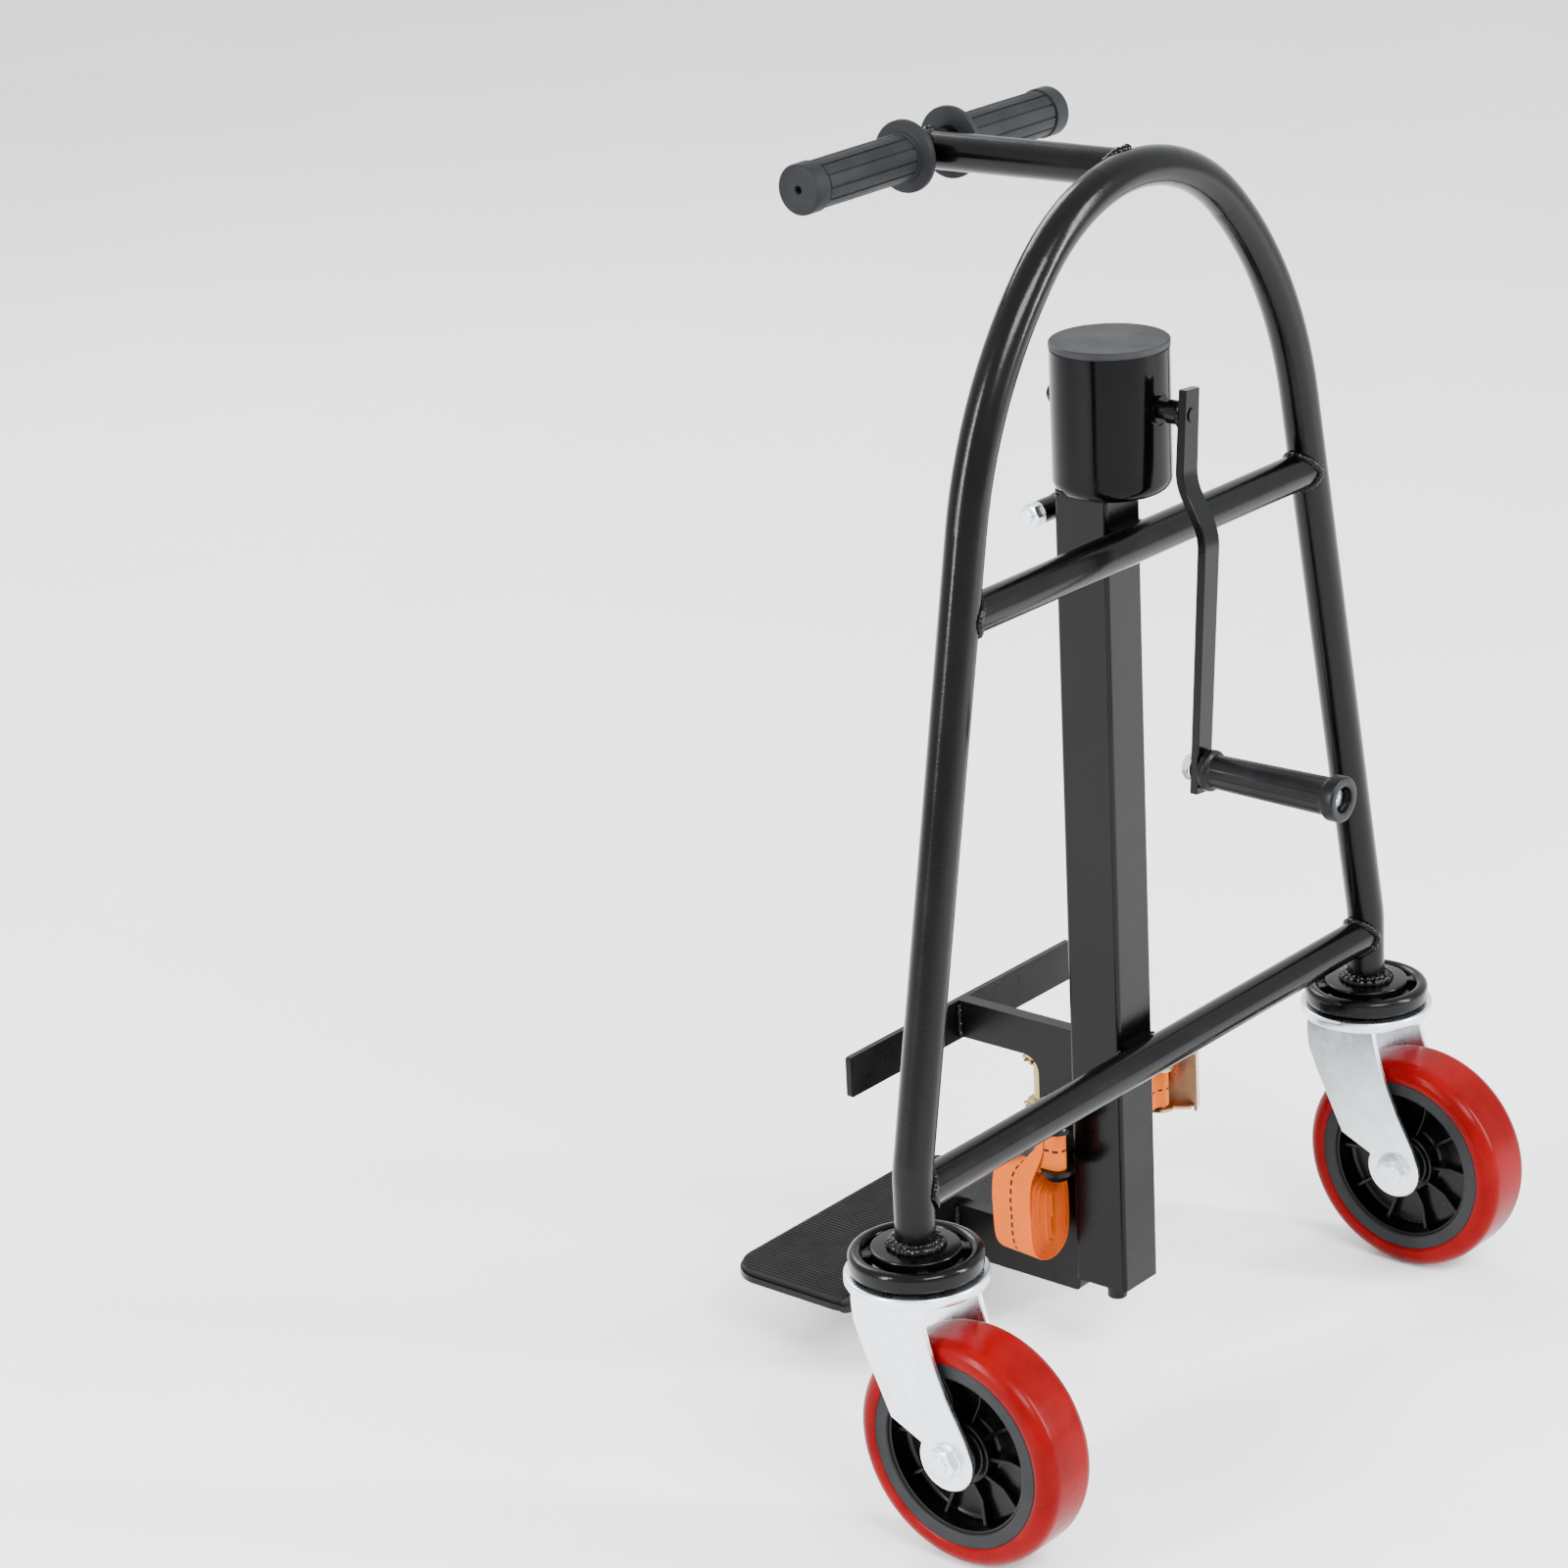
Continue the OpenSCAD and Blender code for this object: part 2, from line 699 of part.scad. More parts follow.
module ratchet_pins() color("#c9ccd0") ratchet() {
    rod_z(3, -15.5, 15.5, 0, 0);
    for (z = [-17, 15.5]) rod_z(4.5, z, z + 1.5, 0, 0);
    rod_z(2.5, -15.5, 15.5, 30, 5);
}

module handle_side() difference() {
    union() {
        translate([spool_x, 0]) circle(r = 12);
        polygon([[spool_x, -12], [20, -18], [-12, -18], [-18, -12], [8, -9], [44, -4], [spool_x, 8]]);
    }
    translate([spool_x, 0]) circle(r = 7 + run);
    translate([spool_x, 0]) rotate([0, 0, 195]) translate([11, -1.5]) square([28, 3]);
}

module ratchet_handle() color("#d8a58f") ratchet() {
    for (z = [-20.5, 18.5]) translate([0, 0, z]) linear_extrude(2) handle_side();
    block(-20, 23, -20, -18, -20.5, 20.5);
    block(-22, -20, -20, -10, -20.5, 20.5);
}

module handle_pawl() color("#c9ccd0") ratchet() translate([spool_x, 0, 0]) rotate([0, 0, 15]) {
    block(-34, -14.4, -1.25, 1.25, -18.3, 18.3);
    for (z = [-20.5, 18.3]) block(-34, -18, -1.25, 1.25, z, z + 2.2);
}

module frame_pawl() color("#c9ccd0") ratchet() translate([spool_x, 0, 0]) rotate([0, 0, -15]) {
    block(-22, -12.2, -1.25, 1.25, -18.2, 18.2);
    block(-40, -22, -1.25, 1.25, -13, 13);
}

module ratchet_wheel() difference() {
    union() {
        circle(r = 11.6);
        for (i = [0:11]) rotate([0, 0, i * 30 + 3.5]) polygon([
            [10 * cos(10), -10 * sin(10)], [11.6 * cos(10), -11.6 * sin(10)],
            [14 * cos(1), -14 * sin(1)], [14 * cos(2.5), 14 * sin(2.5)],
            [11.6 * cos(3), 11.6 * sin(3)], [10, 0.4]]);
    }
    circle(r = 6);
}

module ratchet_spool() color("#a89f6a") ratchet() translate([spool_x, 0, 0]) {
    difference() {
        rod_z(7, -22, 22, 0, 0);
        block(-1.3, 1.3, -8, 8, -12.5, 12.5);
    }
    for (z = [-17.9, 16]) translate([0, 0, z]) linear_extrude(1.9) ratchet_wheel();
}

// ---- casters, drawn about the swivel axis ----

module fork_side() difference() {
    union() {
        polygon([[-29, 178], [-28.5, 151], [-13, 118], [-1, 93], [trail - 19.6, axle_z + 4],
                 [trail + 19.6, axle_z + 4], [55, 93], [42, 118], [28.8, 151], [23, 178]]);
        translate([trail, axle_z]) circle(r = 20);
    }
    translate([trail, axle_z]) circle(r = 6);
}

module fork() {
    difference() {
        union() {
            rod_z(45, 178, fork_top, 0, 0);
            block(-29.7, 29.7, -29, 23, 174, 178);
        }
        rod_z(6 + run, 170, fork_top + 1, 0, 0);
    }
    for (x = [-29.7, 25.7]) translate([x, 0, 0]) rotate([90, 0, 90]) linear_extrude(4) fork_side();
}

module axle() {
    rod_x(6, -38, 38, trail, axle_z);
    for (x = [-35.7, 29.7]) translate([x, trail, axle_z]) rotate([0, 90, 0]) hex(20, 6);
    difference() {
        rod_x(8, -25.7, 25.7, trail, axle_z);
        rod_x(6, -26, 26, trail, axle_z);
    }
}

module wheel_part() translate([0, trail, axle_z]) rotate([0, 90, 0]) children();

module wheel_hub() wheel_part() difference() {
    union() {
        translate([0, 0, -22]) cylinder(r = 15, h = 44);
        translate([0, 0, -4]) cylinder(r = 52, h = 8);
        for (i = [0:9]) rotate([0, 0, i * 36]) translate([14, -1.5, -13]) cube([38, 3, 26]);
    }
    translate([0, 0, -23]) cylinder(r = 8 + run, h = 46);
}

module wheel_rim() wheel_part() difference() {
    translate([0, 0, -wheel_w / 2 + 0.5]) cylinder(r = wheel_d / 2 - 14, h = wheel_w - 1);
    translate([0, 0, -wheel_w / 2]) cylinder(r = 52, h = wheel_w);
}

module tread() wheel_part() rotate_extrude() {
    translate([wheel_d / 2 - 14, -wheel_w / 2]) square([6, wheel_w]);
    translate([wheel_d / 2 - 14, 8 - wheel_w / 2]) square([14, wheel_w - 16]);
    for (z = [8 - wheel_w / 2, wheel_w / 2 - 8]) intersection() {
        translate([wheel_d / 2 - 8, z]) circle(r = 8);
        translate([wheel_d / 2 - 8, -wheel_w / 2]) square([9, wheel_w]);
    }
}

module at_left() in_place() translate([-half, 0, 0]) children();

module at_right() in_place() translate([half, 0, 0]) children();

module fork_left() color("#cfd6de") at_left() fork();

module fork_right() color("#cfd6de") at_right() fork();

module axle_left() color("#c9ccd0") at_left() axle();

module axle_right() color("#c9ccd0") at_right() axle();

module wheel_hub_left() color("#1b1b1c") at_left() wheel_hub();

module wheel_hub_right() color("#1b1b1c") at_right() wheel_hub();

module wheel_rim_left() color("#55585b") at_left() wheel_rim();

module wheel_rim_right() color("#55585b") at_right() wheel_rim();

module tread_left() color("#b3142c") at_left() tread();

module tread_right() color("#b3142c") at_right() tread();
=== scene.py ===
import json
import math

import bmesh
import bpy
from mathutils import Matrix, Vector, noise


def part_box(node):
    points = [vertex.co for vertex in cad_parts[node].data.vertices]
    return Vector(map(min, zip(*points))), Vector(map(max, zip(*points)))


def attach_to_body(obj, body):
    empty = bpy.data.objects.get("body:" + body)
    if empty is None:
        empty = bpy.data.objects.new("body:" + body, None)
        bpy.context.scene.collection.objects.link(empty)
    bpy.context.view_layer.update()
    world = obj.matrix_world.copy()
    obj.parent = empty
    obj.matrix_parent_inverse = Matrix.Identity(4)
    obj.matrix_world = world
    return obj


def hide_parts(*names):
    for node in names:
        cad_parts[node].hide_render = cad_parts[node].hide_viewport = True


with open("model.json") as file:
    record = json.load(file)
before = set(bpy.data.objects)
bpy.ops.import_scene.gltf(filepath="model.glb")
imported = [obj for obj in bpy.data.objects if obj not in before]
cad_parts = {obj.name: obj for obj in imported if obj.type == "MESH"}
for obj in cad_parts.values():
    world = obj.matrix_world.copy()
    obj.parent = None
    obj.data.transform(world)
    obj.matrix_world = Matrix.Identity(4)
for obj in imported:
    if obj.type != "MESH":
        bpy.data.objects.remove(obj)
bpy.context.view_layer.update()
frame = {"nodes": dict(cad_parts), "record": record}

MM = 0.001
X, Y, Z = Vector((1, 0, 0)), Vector((0, 1, 0)), Vector((0, 0, 1))


def mid(node):
    low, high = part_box(node)
    return (low + high) / 2


HOOP_Y = mid("upper_crossbar").y
HALF_TRACK = mid("fork_right").x
COLUMN_LOW, COLUMN_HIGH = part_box("column")
TUBE_R = 12.5 * MM
BAR_R = 12 * MM
LEG_LEAN = math.radians(11)
LEG_CORNER_Z = 245.9 * MM
WEBBING = 25 * MM
ROLL_WEBBING = 33 * MM
WEB_THICK = 1.35 * MM
HEX_M8 = 13 * MM
HEX_M8_REACH = 7.5 * MM  # from the bolt's axis to a corner of its hexagon
HANDLE_R = 11 * MM
FOOT_TOP = 81 * MM  # the lead screw's thread runs from here
THREAD_TOP = 595 * MM  # to here
# the camera, fitted to the photo
CAMERA_PLACE = Vector((2.1914, HOOP_Y + 1.5872, 1.4209))
CAMERA_AIM = Vector((-0.71105, -0.61278, -0.34484))
CAMERA_ROLL = math.radians(-2.98)
CAMERA_LENS = 104.94
CAMERA_SENSOR = 36


# ---- camera, light and floor ----

def add_camera():
    data = bpy.data.cameras.new("camera")
    data.lens = CAMERA_LENS
    data.sensor_width = CAMERA_SENSOR
    camera = bpy.data.objects.new("camera", data)
    bpy.context.scene.collection.objects.link(camera)
    turn = CAMERA_AIM.to_track_quat("-Z", "Y").to_matrix().to_4x4()
    roll = Matrix.Rotation(CAMERA_ROLL, 4, "Z")
    camera.matrix_world = Matrix.Translation(CAMERA_PLACE) @ turn @ roll
    bpy.context.scene.camera = camera


def add_light(name, place, aim, size, power):
    data = bpy.data.lights.new(name, "AREA")
    data.shape = "RECTANGLE"
    data.size, data.size_y = size
    data.energy = power
    light = bpy.data.objects.new(name, data)
    bpy.context.scene.collection.objects.link(light)
    light.location = place
    light.rotation_euler = (Vector(aim) - Vector(place)).to_track_quat("-Z", "Y").to_euler()


def add_studio():
    world = bpy.data.worlds.new("studio")
    world.use_nodes = True
    sky = world.node_tree.nodes["Background"]
    sky.inputs["Color"].default_value = (0.96, 0.98, 1.0, 1)
    sky.inputs["Strength"].default_value = 1.7
    bpy.context.scene.world = world
    add_light("key", (1.0, 2.4, 2.8), (0, 0, 0.4), (1.5, 0.9), 150)
    add_light("strip_right", (-1.3, 2.5, 1.5), (0, 0, 0.45), (0.30, 1.9), 130)
    add_light("strip_left", (2.7, -0.7, 1.5), (0, 0, 0.45), (0.35, 1.9), 120)
    add_light("back", (-0.8, -2.6, 2.4), (0, 0, 0.3), (1.6, 1.2), 70)


def add_floor(finish):
    bpy.ops.mesh.primitive_plane_add(size=60, location=(0, 0, -0.0005))
    floor = bpy.context.object
    floor.name = "floor"
    floor.data.materials.append(finish)


# ---- node materials ----

class Shader:
    """A Principled material with its procedural nodes; linked values vary over the surface."""

    def __init__(self, name, metal=0.0, specular=0.5):
        self.material = bpy.data.materials.new(name)
        self.material.use_nodes = True
        self.tree = self.material.node_tree
        self.surface = self.tree.nodes["Principled BSDF"]
        self.surface.inputs["Metallic"].default_value = metal
        self.surface.inputs["Specular IOR Level"].default_value = specular
        self.place = self.tree.nodes.new("ShaderNodeTexCoord")

    def link(self, source, node, socket):
        self.tree.links.new(source, node.inputs[socket])

    def noise(self, scale, detail=3.0, rough=0.55, stretch=None):
        texture = self.tree.nodes.new("ShaderNodeTexNoise")
        texture.inputs["Scale"].default_value = scale
        texture.inputs["Detail"].default_value = detail
        texture.inputs["Roughness"].default_value = rough
        source = self.place.outputs["Object"]
        if stretch:
            mapping = self.tree.nodes.new("ShaderNodeMapping")
            mapping.inputs["Scale"].default_value = stretch
            self.link(source, mapping, "Vector")
            source = mapping.outputs["Vector"]
        self.link(source, texture, "Vector")
        return texture.outputs["Fac"]

    def ramp(self, source, low, high, start=0.35, end=0.65):
        node = self.tree.nodes.new("ShaderNodeValToRGB")
        node.color_ramp.elements[0].position = start
        node.color_ramp.elements[1].position = end
        node.color_ramp.elements[0].color = (*low, 1)
        node.color_ramp.elements[1].color = (*high, 1)
        self.link(source, node, "Fac")
        return node.outputs["Color"]

    def spread(self, source, low, high):
        node = self.tree.nodes.new("ShaderNodeMapRange")
        node.inputs["From Min"].default_value = 0.3
        node.inputs["From Max"].default_value = 0.7
        node.inputs["To Min"].default_value = low
        node.inputs["To Max"].default_value = high
        self.link(source, node, "Value")
        return node.outputs["Result"]

    def math(self, operation, a, b=0.0, c=0.5):
        node = self.tree.nodes.new("ShaderNodeMath")
        node.operation = operation
        for socket, value in enumerate((a, b, c)):
            if isinstance(value, (int, float)):
                node.inputs[socket].default_value = value
            else:
                self.link(value, node, socket)
        return node.outputs["Value"]

    def mix(self, factor, a, b):
        node = self.tree.nodes.new("ShaderNodeMix")
        node.data_type = "RGBA"
        self.link(factor, node, "Factor")
        for socket, value in ((6, a), (7, b)):
            if isinstance(value, tuple):
                node.inputs[socket].default_value = (*value, 1)
            else:
                self.link(value, node, socket)
        return node.outputs[2]

    def bump(self, height, strength, distance, under=None):
        node = self.tree.nodes.new("ShaderNodeBump")
        node.inputs["Strength"].default_value = strength
        node.inputs["Distance"].default_value = distance
        self.link(height, node, "Height")
        if under:
            self.link(under, node, "Normal")
        return node.outputs["Normal"]

    def finish(self, colour, rough, normal=None):
        self.link(colour, self.surface, "Base Color")
        self.link(rough, self.surface, "Roughness")
        if normal:
            self.link(normal, self.surface, "Normal")
        return self.material


def paint(name, dark, light, rough, peel=0.10, specular=0.16):
    """Sprayed enamel: orange peel, faint flow marks and dust-dulled patches."""
    s = Shader(name, specular=specular)
    peel_bump = s.bump(s.noise(420, 2), peel, 0.0006)
    flow = s.bump(s.noise(38, 2, 0.4, (1, 1, 0.35)), 0.05, 0.002, peel_bump)
    colour = s.ramp(s.noise(9, 5, 0.6), dark, light)
    return s.finish(colour, s.spread(s.noise(26, 6, 0.65), *rough), flow)


def plated(name, dark, light, rough, grain=(1, 1, 1)):
    """Plated steel: crystalline mottling, fine scratches and uneven gloss."""
    s = Shader(name, metal=1.0)
    scratches = s.bump(s.noise(900, 3, 0.7, grain), 0.05, 0.0004)
    dents = s.bump(s.noise(60, 2), 0.04, 0.001, scratches)
    colour = s.ramp(s.noise(75, 7, 0.72), dark, light, 0.3, 0.7)
    return s.finish(colour, s.spread(s.noise(48, 5, 0.7), *rough), dents)


def moulded(name, dark, light, rough, grain=1300, bump=0.12, specular=0.16):
    """Rubber or plastic: fine moulded grain and slightly uneven colour."""
    s = Shader(name, specular=specular)
    skin = s.bump(s.noise(grain, 2), bump, 0.0004)
    waves = s.bump(s.noise(70, 2), 0.05, 0.0008, skin)
    colour = s.ramp(s.noise(22, 5, 0.6), dark, light)
    return s.finish(colour, s.spread(s.noise(55, 5), *rough), waves)


def webbing(name, dark, light, stitched):
    """Woven polyester strap; u runs across it and v along it, both in metres."""
    s = Shader(name, specular=0.12)
    split = s.tree.nodes.new("ShaderNodeSeparateXYZ")
    s.link(s.place.outputs["UV"], split, "Vector")
    u, v = split.outputs["X"], split.outputs["Y"]
    warp = s.math("SINE", s.math("MULTIPLY", u, 2 * math.pi / (1.25 * MM)))
    weft = s.math("SINE", s.math("MULTIPLY", v, 2 * math.pi / (1.6 * MM)))
    rows = s.math("SINE", s.math("MULTIPLY", s.math("ADD", u, v), 2 * math.pi / (2.5 * MM)))
    weave = s.math("MULTIPLY_ADD", s.math("MULTIPLY", warp, weft), 0.5)
    height = s.math("ADD", weave, s.math("MULTIPLY", rows, 0.35))
    # painted shade: the colour follows the weave's height and is darker in its hollows; the noise
    # adds patchy dirt on top
    weave_shade = s.math("MULTIPLY_ADD", height, 0.22)
    weave_shade_and_dirt = s.math("ADD", weave_shade, s.math("MULTIPLY", s.noise(60, 5), 0.35))
    colour = s.ramp(weave_shade_and_dirt, dark, light, 0.35, 0.95)
    if stitched:
        off = s.math("ABSOLUTE", s.math("SUBTRACT", u, WEBBING / 2))
        near = s.math("LESS_THAN", off, 0.65 * MM)
        dash = s.math("LESS_THAN", s.math("FRACT", s.math("DIVIDE", v, 6 * MM)), 0.62)
        colour = s.mix(s.math("MULTIPLY", near, dash), colour, (0.012, 0.010, 0.010))
    fuzz = s.bump(s.noise(1600, 2), 0.12, 0.0003, s.bump(height, 0.45, 0.0004))
    return s.finish(colour, s.spread(s.noise(90, 4), 0.72, 0.92), fuzz)


def floor_finish():
    s = Shader("floor_white", specular=0.2)
    return s.finish(s.ramp(s.noise(3, 4), (0.93, 0.935, 0.94), (0.96, 0.96, 0.965)),
                    s.spread(s.noise(9, 3), 0.75, 0.85))


FINISH = {
    "frame_black": paint("frame_black", (0.0006, 0.0006, 0.0007), (0.0016, 0.0016, 0.0019),
                         (0.14, 0.26)),
    "housing_black": paint("housing_black", (0.0004, 0.0004, 0.0005), (0.0009, 0.0009, 0.0011),
                           (0.12, 0.20), peel=0.06, specular=0.10),
    "lid_grey": paint("lid_grey", (0.013, 0.0135, 0.015), (0.021, 0.022, 0.024), (0.42, 0.58)),
    "carriage_black": paint("carriage_black", (0.0010, 0.0010, 0.0011), (0.0028, 0.0029, 0.0031),
                            (0.24, 0.38)),
    "grip_rubber": moulded("grip_rubber", (0.006, 0.0065, 0.0075), (0.012, 0.013, 0.015),
                           (0.50, 0.66)),
    "crank_rubber": moulded("crank_rubber", (0.0016, 0.0017, 0.002), (0.0035, 0.0037, 0.0042),
                            (0.30, 0.44), bump=0.08),
    "pad_rubber": moulded("pad_rubber", (0.0016, 0.0017, 0.002), (0.0035, 0.0037, 0.004),
                          (0.50, 0.66)),
    "zinc": plated("zinc", (0.68, 0.74, 0.79), (0.90, 0.94, 0.98), (0.20, 0.36)),
    "steel": plated("steel", (0.34, 0.35, 0.37), (0.52, 0.53, 0.55), (0.26, 0.44),
                    grain=(1, 1, 0.1)),
    "bronze": plated("bronze", (0.42, 0.27, 0.10), (0.66, 0.47, 0.20), (0.28, 0.45)),
    "tread_red": moulded("tread_red", (0.115, 0.0, 0.0004), (0.175, 0.0, 0.0010), (0.20, 0.32),
                         grain=420, bump=0.04, specular=0.07),
    "rim_grey": moulded("rim_grey", (0.009, 0.0095, 0.0105), (0.016, 0.0165, 0.018), (0.42, 0.56)),
    "hub_black": moulded("hub_black", (0.0004, 0.0004, 0.0005), (0.0012, 0.0012, 0.0014),
                         (0.20, 0.32), grain=700, bump=0.06, specular=0.2),
    "webbing_orange": webbing("webbing_orange", (0.40, 0.050, 0.0015), (0.62, 0.125, 0.008), True),
    "webbing_edge": webbing("webbing_edge", (0.26, 0.022, 0.001), (0.46, 0.060, 0.003), False),
    "ratchet_rose": plated("ratchet_rose", (0.42, 0.20, 0.13), (0.58, 0.35, 0.19), (0.20, 0.36)),
    "ratchet_gold": plated("ratchet_gold", (0.30, 0.24, 0.09), (0.48, 0.37, 0.18), (0.20, 0.38)),
}


def dress_frame():
    """Gives every CAD node the finish of its record slot."""
    for part in frame["record"]["subparts"]:
        data = frame["nodes"][part["node"]].data
        data.materials.clear()
        data.materials.append(FINISH[part["material_slot"]])


# ---- mesh building ----

def arc(centre, r, start, end, steps=6):
    """Points on an arc in the plane, angles in degrees."""
    angles = [math.radians(start + (end - start) * k / steps) for k in range(steps + 1)]
    return [(centre[0] + r * math.cos(a), centre[1] + r * math.sin(a)) for a in angles]


def grid(rows, cols, close_rows=False):
    """Quads between rings of points that follow each other."""
    faces = []
    for i in range(rows if close_rows else rows - 1):
        for j in range(cols):
            n, m = (i + 1) % rows, (j + 1) % cols
            faces.append((i * cols + j, i * cols + m, n * cols + m, n * cols + j))
    return faces


def caps(sides, total):
    """The two end faces of a stack of rings."""
    return [tuple(range(sides)), tuple(range(total - sides, total))]


def turns(count):
    return [2 * math.pi * k / count for k in range(count)]


def metres(points):
    """Points in millimetres, in metres."""
    return [(a * MM, b * MM) for a, b in points]


def mirrored(half):
    """A profile with its other half, across its width."""
    return half + [(r, -w) for r, w in reversed(half)]


def heading(path, i, closed=False):
    """Unit direction of a path at one of its points."""
    n = len(path)
    before = path[i - 1] if closed or i else path[0]
    after = path[(i + 1) % n] if closed or i < n - 1 else path[i]
    return (after - before).normalized()


def attach(obj, body, nodes):
    """Puts an object in the scene, on its body and in place of its CAD nodes."""
    bpy.context.scene.collection.objects.link(obj)
    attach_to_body(obj, body)
    for node in nodes:
        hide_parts(node)


def piece(name, verts, faces, finish, body, nodes=(), sharp=32):
    """Makes a closed mesh with clean normals that rides on a body."""
    mesh = bpy.data.meshes.new(name)
    mesh.from_pydata([tuple(v) for v in verts], [], faces)
    shape = bmesh.new()
    shape.from_mesh(mesh)
    bmesh.ops.remove_doubles(shape, verts=shape.verts, dist=1e-7)
    bmesh.ops.recalc_face_normals(shape, faces=shape.faces)
    shape.to_mesh(mesh)
    shape.free()
    mesh.polygons.foreach_set("use_smooth", [True] * len(mesh.polygons))
    mesh.set_sharp_from_angle(angle=math.radians(sharp))
    mesh.materials.append(FINISH[finish])
    attach(bpy.data.objects.new(name, mesh), body, nodes)


def stand(place, axis):
    """Matrix that takes +Z to an axis through a place."""
    return Matrix.Translation(place) @ Vector(axis).to_track_quat("Z", "Y").to_matrix().to_4x4()


class Shape:
    """Collects several closed shells into one mesh."""

    def __init__(self):
        self.verts, self.faces = [], []

    def add(self, verts, faces):
        start = len(self.verts)
        self.verts += verts
        self.faces += [tuple(start + i for i in face) for face in faces]

    def lathe(self, profile, matrix, steps=96, closed=False, radius=None, angles=None):
        """Turns (radius, height) points about the matrix's Z axis; radius(r, h, a) may flute it."""
        angles = angles or turns(steps)
        verts = []
        for r, h in profile:
            for a in angles:
                reach = radius(r, h, a) if radius else r
                verts.append(matrix @ Vector((reach * math.cos(a), reach * math.sin(a), h)))
        faces = grid(len(profile), len(angles), close_rows=closed)
        if not closed:
            faces += caps(len(angles), len(verts))
        self.add(verts, faces)

    def slab(self, outline, matrix, depth, edge):
        """Extrudes an outline along the matrix's Z with small chamfers on both rims."""
        rows = [(edge, 0), (0, edge), (0, depth - edge), (edge, depth)]
        verts = []
        for inset, height in rows:
            for x, y in inset_outline(outline, inset) if inset else outline:
                verts.append(matrix @ Vector((x, y, height)))
        n = len(outline)
        self.add(verts, grid(len(rows), n) + caps(n, len(verts)))

    def hexagon(self, matrix, flats, height, lower_chamfer=False):
        """Hexagon head or nut; its corners are turned down at the top, or at both ends."""
        steps, bore, turned = 48, flats * 0.27, flats * 0.48
        rings = [[] for _ in range(6)]
        for a in turns(steps):
            reach = flats / 2 / math.cos(a % (math.pi / 3) - math.pi / 6)
            drop = max(0.0, reach - turned) * math.tan(math.radians(30))
            foot = drop if lower_chamfer else 0.0
            column = ((bore, 0.0), (reach, foot), (reach, height / 2), (reach, height - drop),
                      (turned, height), (bore, height))
            for ring, (r, h) in zip(rings, column):
                ring.append(matrix @ Vector((r * math.cos(a), r * math.sin(a), h)))
        self.add(sum(rings, []), grid(len(rings), steps) + caps(steps, len(rings) * steps))

    def thread(self, matrix, r, depth, pitch, starts, length, per_turn=10):
        """Screw thread with rounded crests along the matrix's Z."""
        steps, rows = 28, max(4, int(length / pitch * per_turn))
        verts = []
        for i in range(rows + 1):
            h = length * i / rows
            for k in range(steps):
                a = 2 * math.pi * k / steps
                turn = (h / pitch - starts * k / steps) % 1.0
                ridge = min(1.0, max(0.0, 1.6 - 3.4 * abs(turn - 0.5)))
                reach = r - depth * (1 - ridge)
                verts.append(matrix @ Vector((reach * math.cos(a), reach * math.sin(a), h)))
        self.add(verts, grid(rows + 1, steps) + caps(steps, len(verts)))

    def washer(self, place, axis, r, thick):
        chamfer = 0.2 * MM
        profile = [(r - chamfer, 0), (r, chamfer), (r, thick - chamfer), (r - chamfer, thick)]
        self.lathe(profile, stand(place, axis), steps=48)

    def rope(self, path, centre, sizes, closed):
        """Sweeps a round section along a path, with its radius at each point."""
        sides, verts = 10, []
        for i, p in enumerate(path):
            tangent = heading(path, i, closed)
            side = tangent.cross(p - centre).normalized()
            out = side.cross(tangent).normalized()
            for a in turns(sides):
                verts.append(p + sizes[i] * (math.cos(a) * out + math.sin(a) * side))
        faces = grid(len(path), sides, close_rows=closed)
        if not closed:
            faces += caps(sides, len(verts))
        self.add(verts, faces)

    def build(self, name, finish, body, nodes=(), sharp=32):
        piece(name, self.verts, self.faces, finish, body, nodes, sharp)


def inset_outline(outline, inset):
    """Moves every corner of a closed outline inwards by the same distance."""
    points = [Vector(p) for p in outline]
    n = len(points)
    area = sum(a.x * b.y - b.x * a.y for a, b in zip(points, points[1:] + points[:1]))
    sign, moved = (1 if area > 0 else -1), []
    for i in range(n):
        a = (points[i] - points[i - 1]).normalized()
        b = (points[(i + 1) % n] - points[i]).normalized()
        na, nb = Vector((-a.y, a.x)) * sign, Vector((-b.y, b.x)) * sign
        bisect = (na + nb).normalized()
        moved.append(points[i] + bisect * inset / max(0.5, bisect.dot(na)))
    return [tuple(p) for p in moved]


def weld(name, path, centre, r, body, closed=True, pitch=3.2 * MM):
    """A lumpy painted bead along a path of close points."""
    rope, along = Shape(), [0.0]
    for a, b in zip(path, path[1:]):
        along.append(along[-1] + (b - a).length)
    sizes = []
    for p, s in zip(path, along):
        ripple = 0.14 * math.cos(2 * math.pi * s / pitch)
        sizes.append(r * (1 + ripple + 0.30 * noise.noise(p * 260)))
    if not closed:
        for i in (0, -1):
            sizes[i] *= 0.35
    rope.rope(path, centre, sizes, closed)
    rope.build(name, "frame_black", body, sharp=80)


def circle_path(matrix, r, count=90):
    return [matrix @ Vector((r * math.cos(a), r * math.sin(a), 0)) for a in turns(count)]


def line_path(a, b):
    count = max(4, int((b - a).length / (0.6 * MM)))
    return [a.lerp(b, k / count) for k in range(count + 1)]


# ---- welds of the frame ----

def leg_x(z):
    """Half the distance between the hoop's leaning legs, at a height."""
    return HALF_TRACK - max(0.0, z - LEG_CORNER_Z) * math.tan(LEG_LEAN)


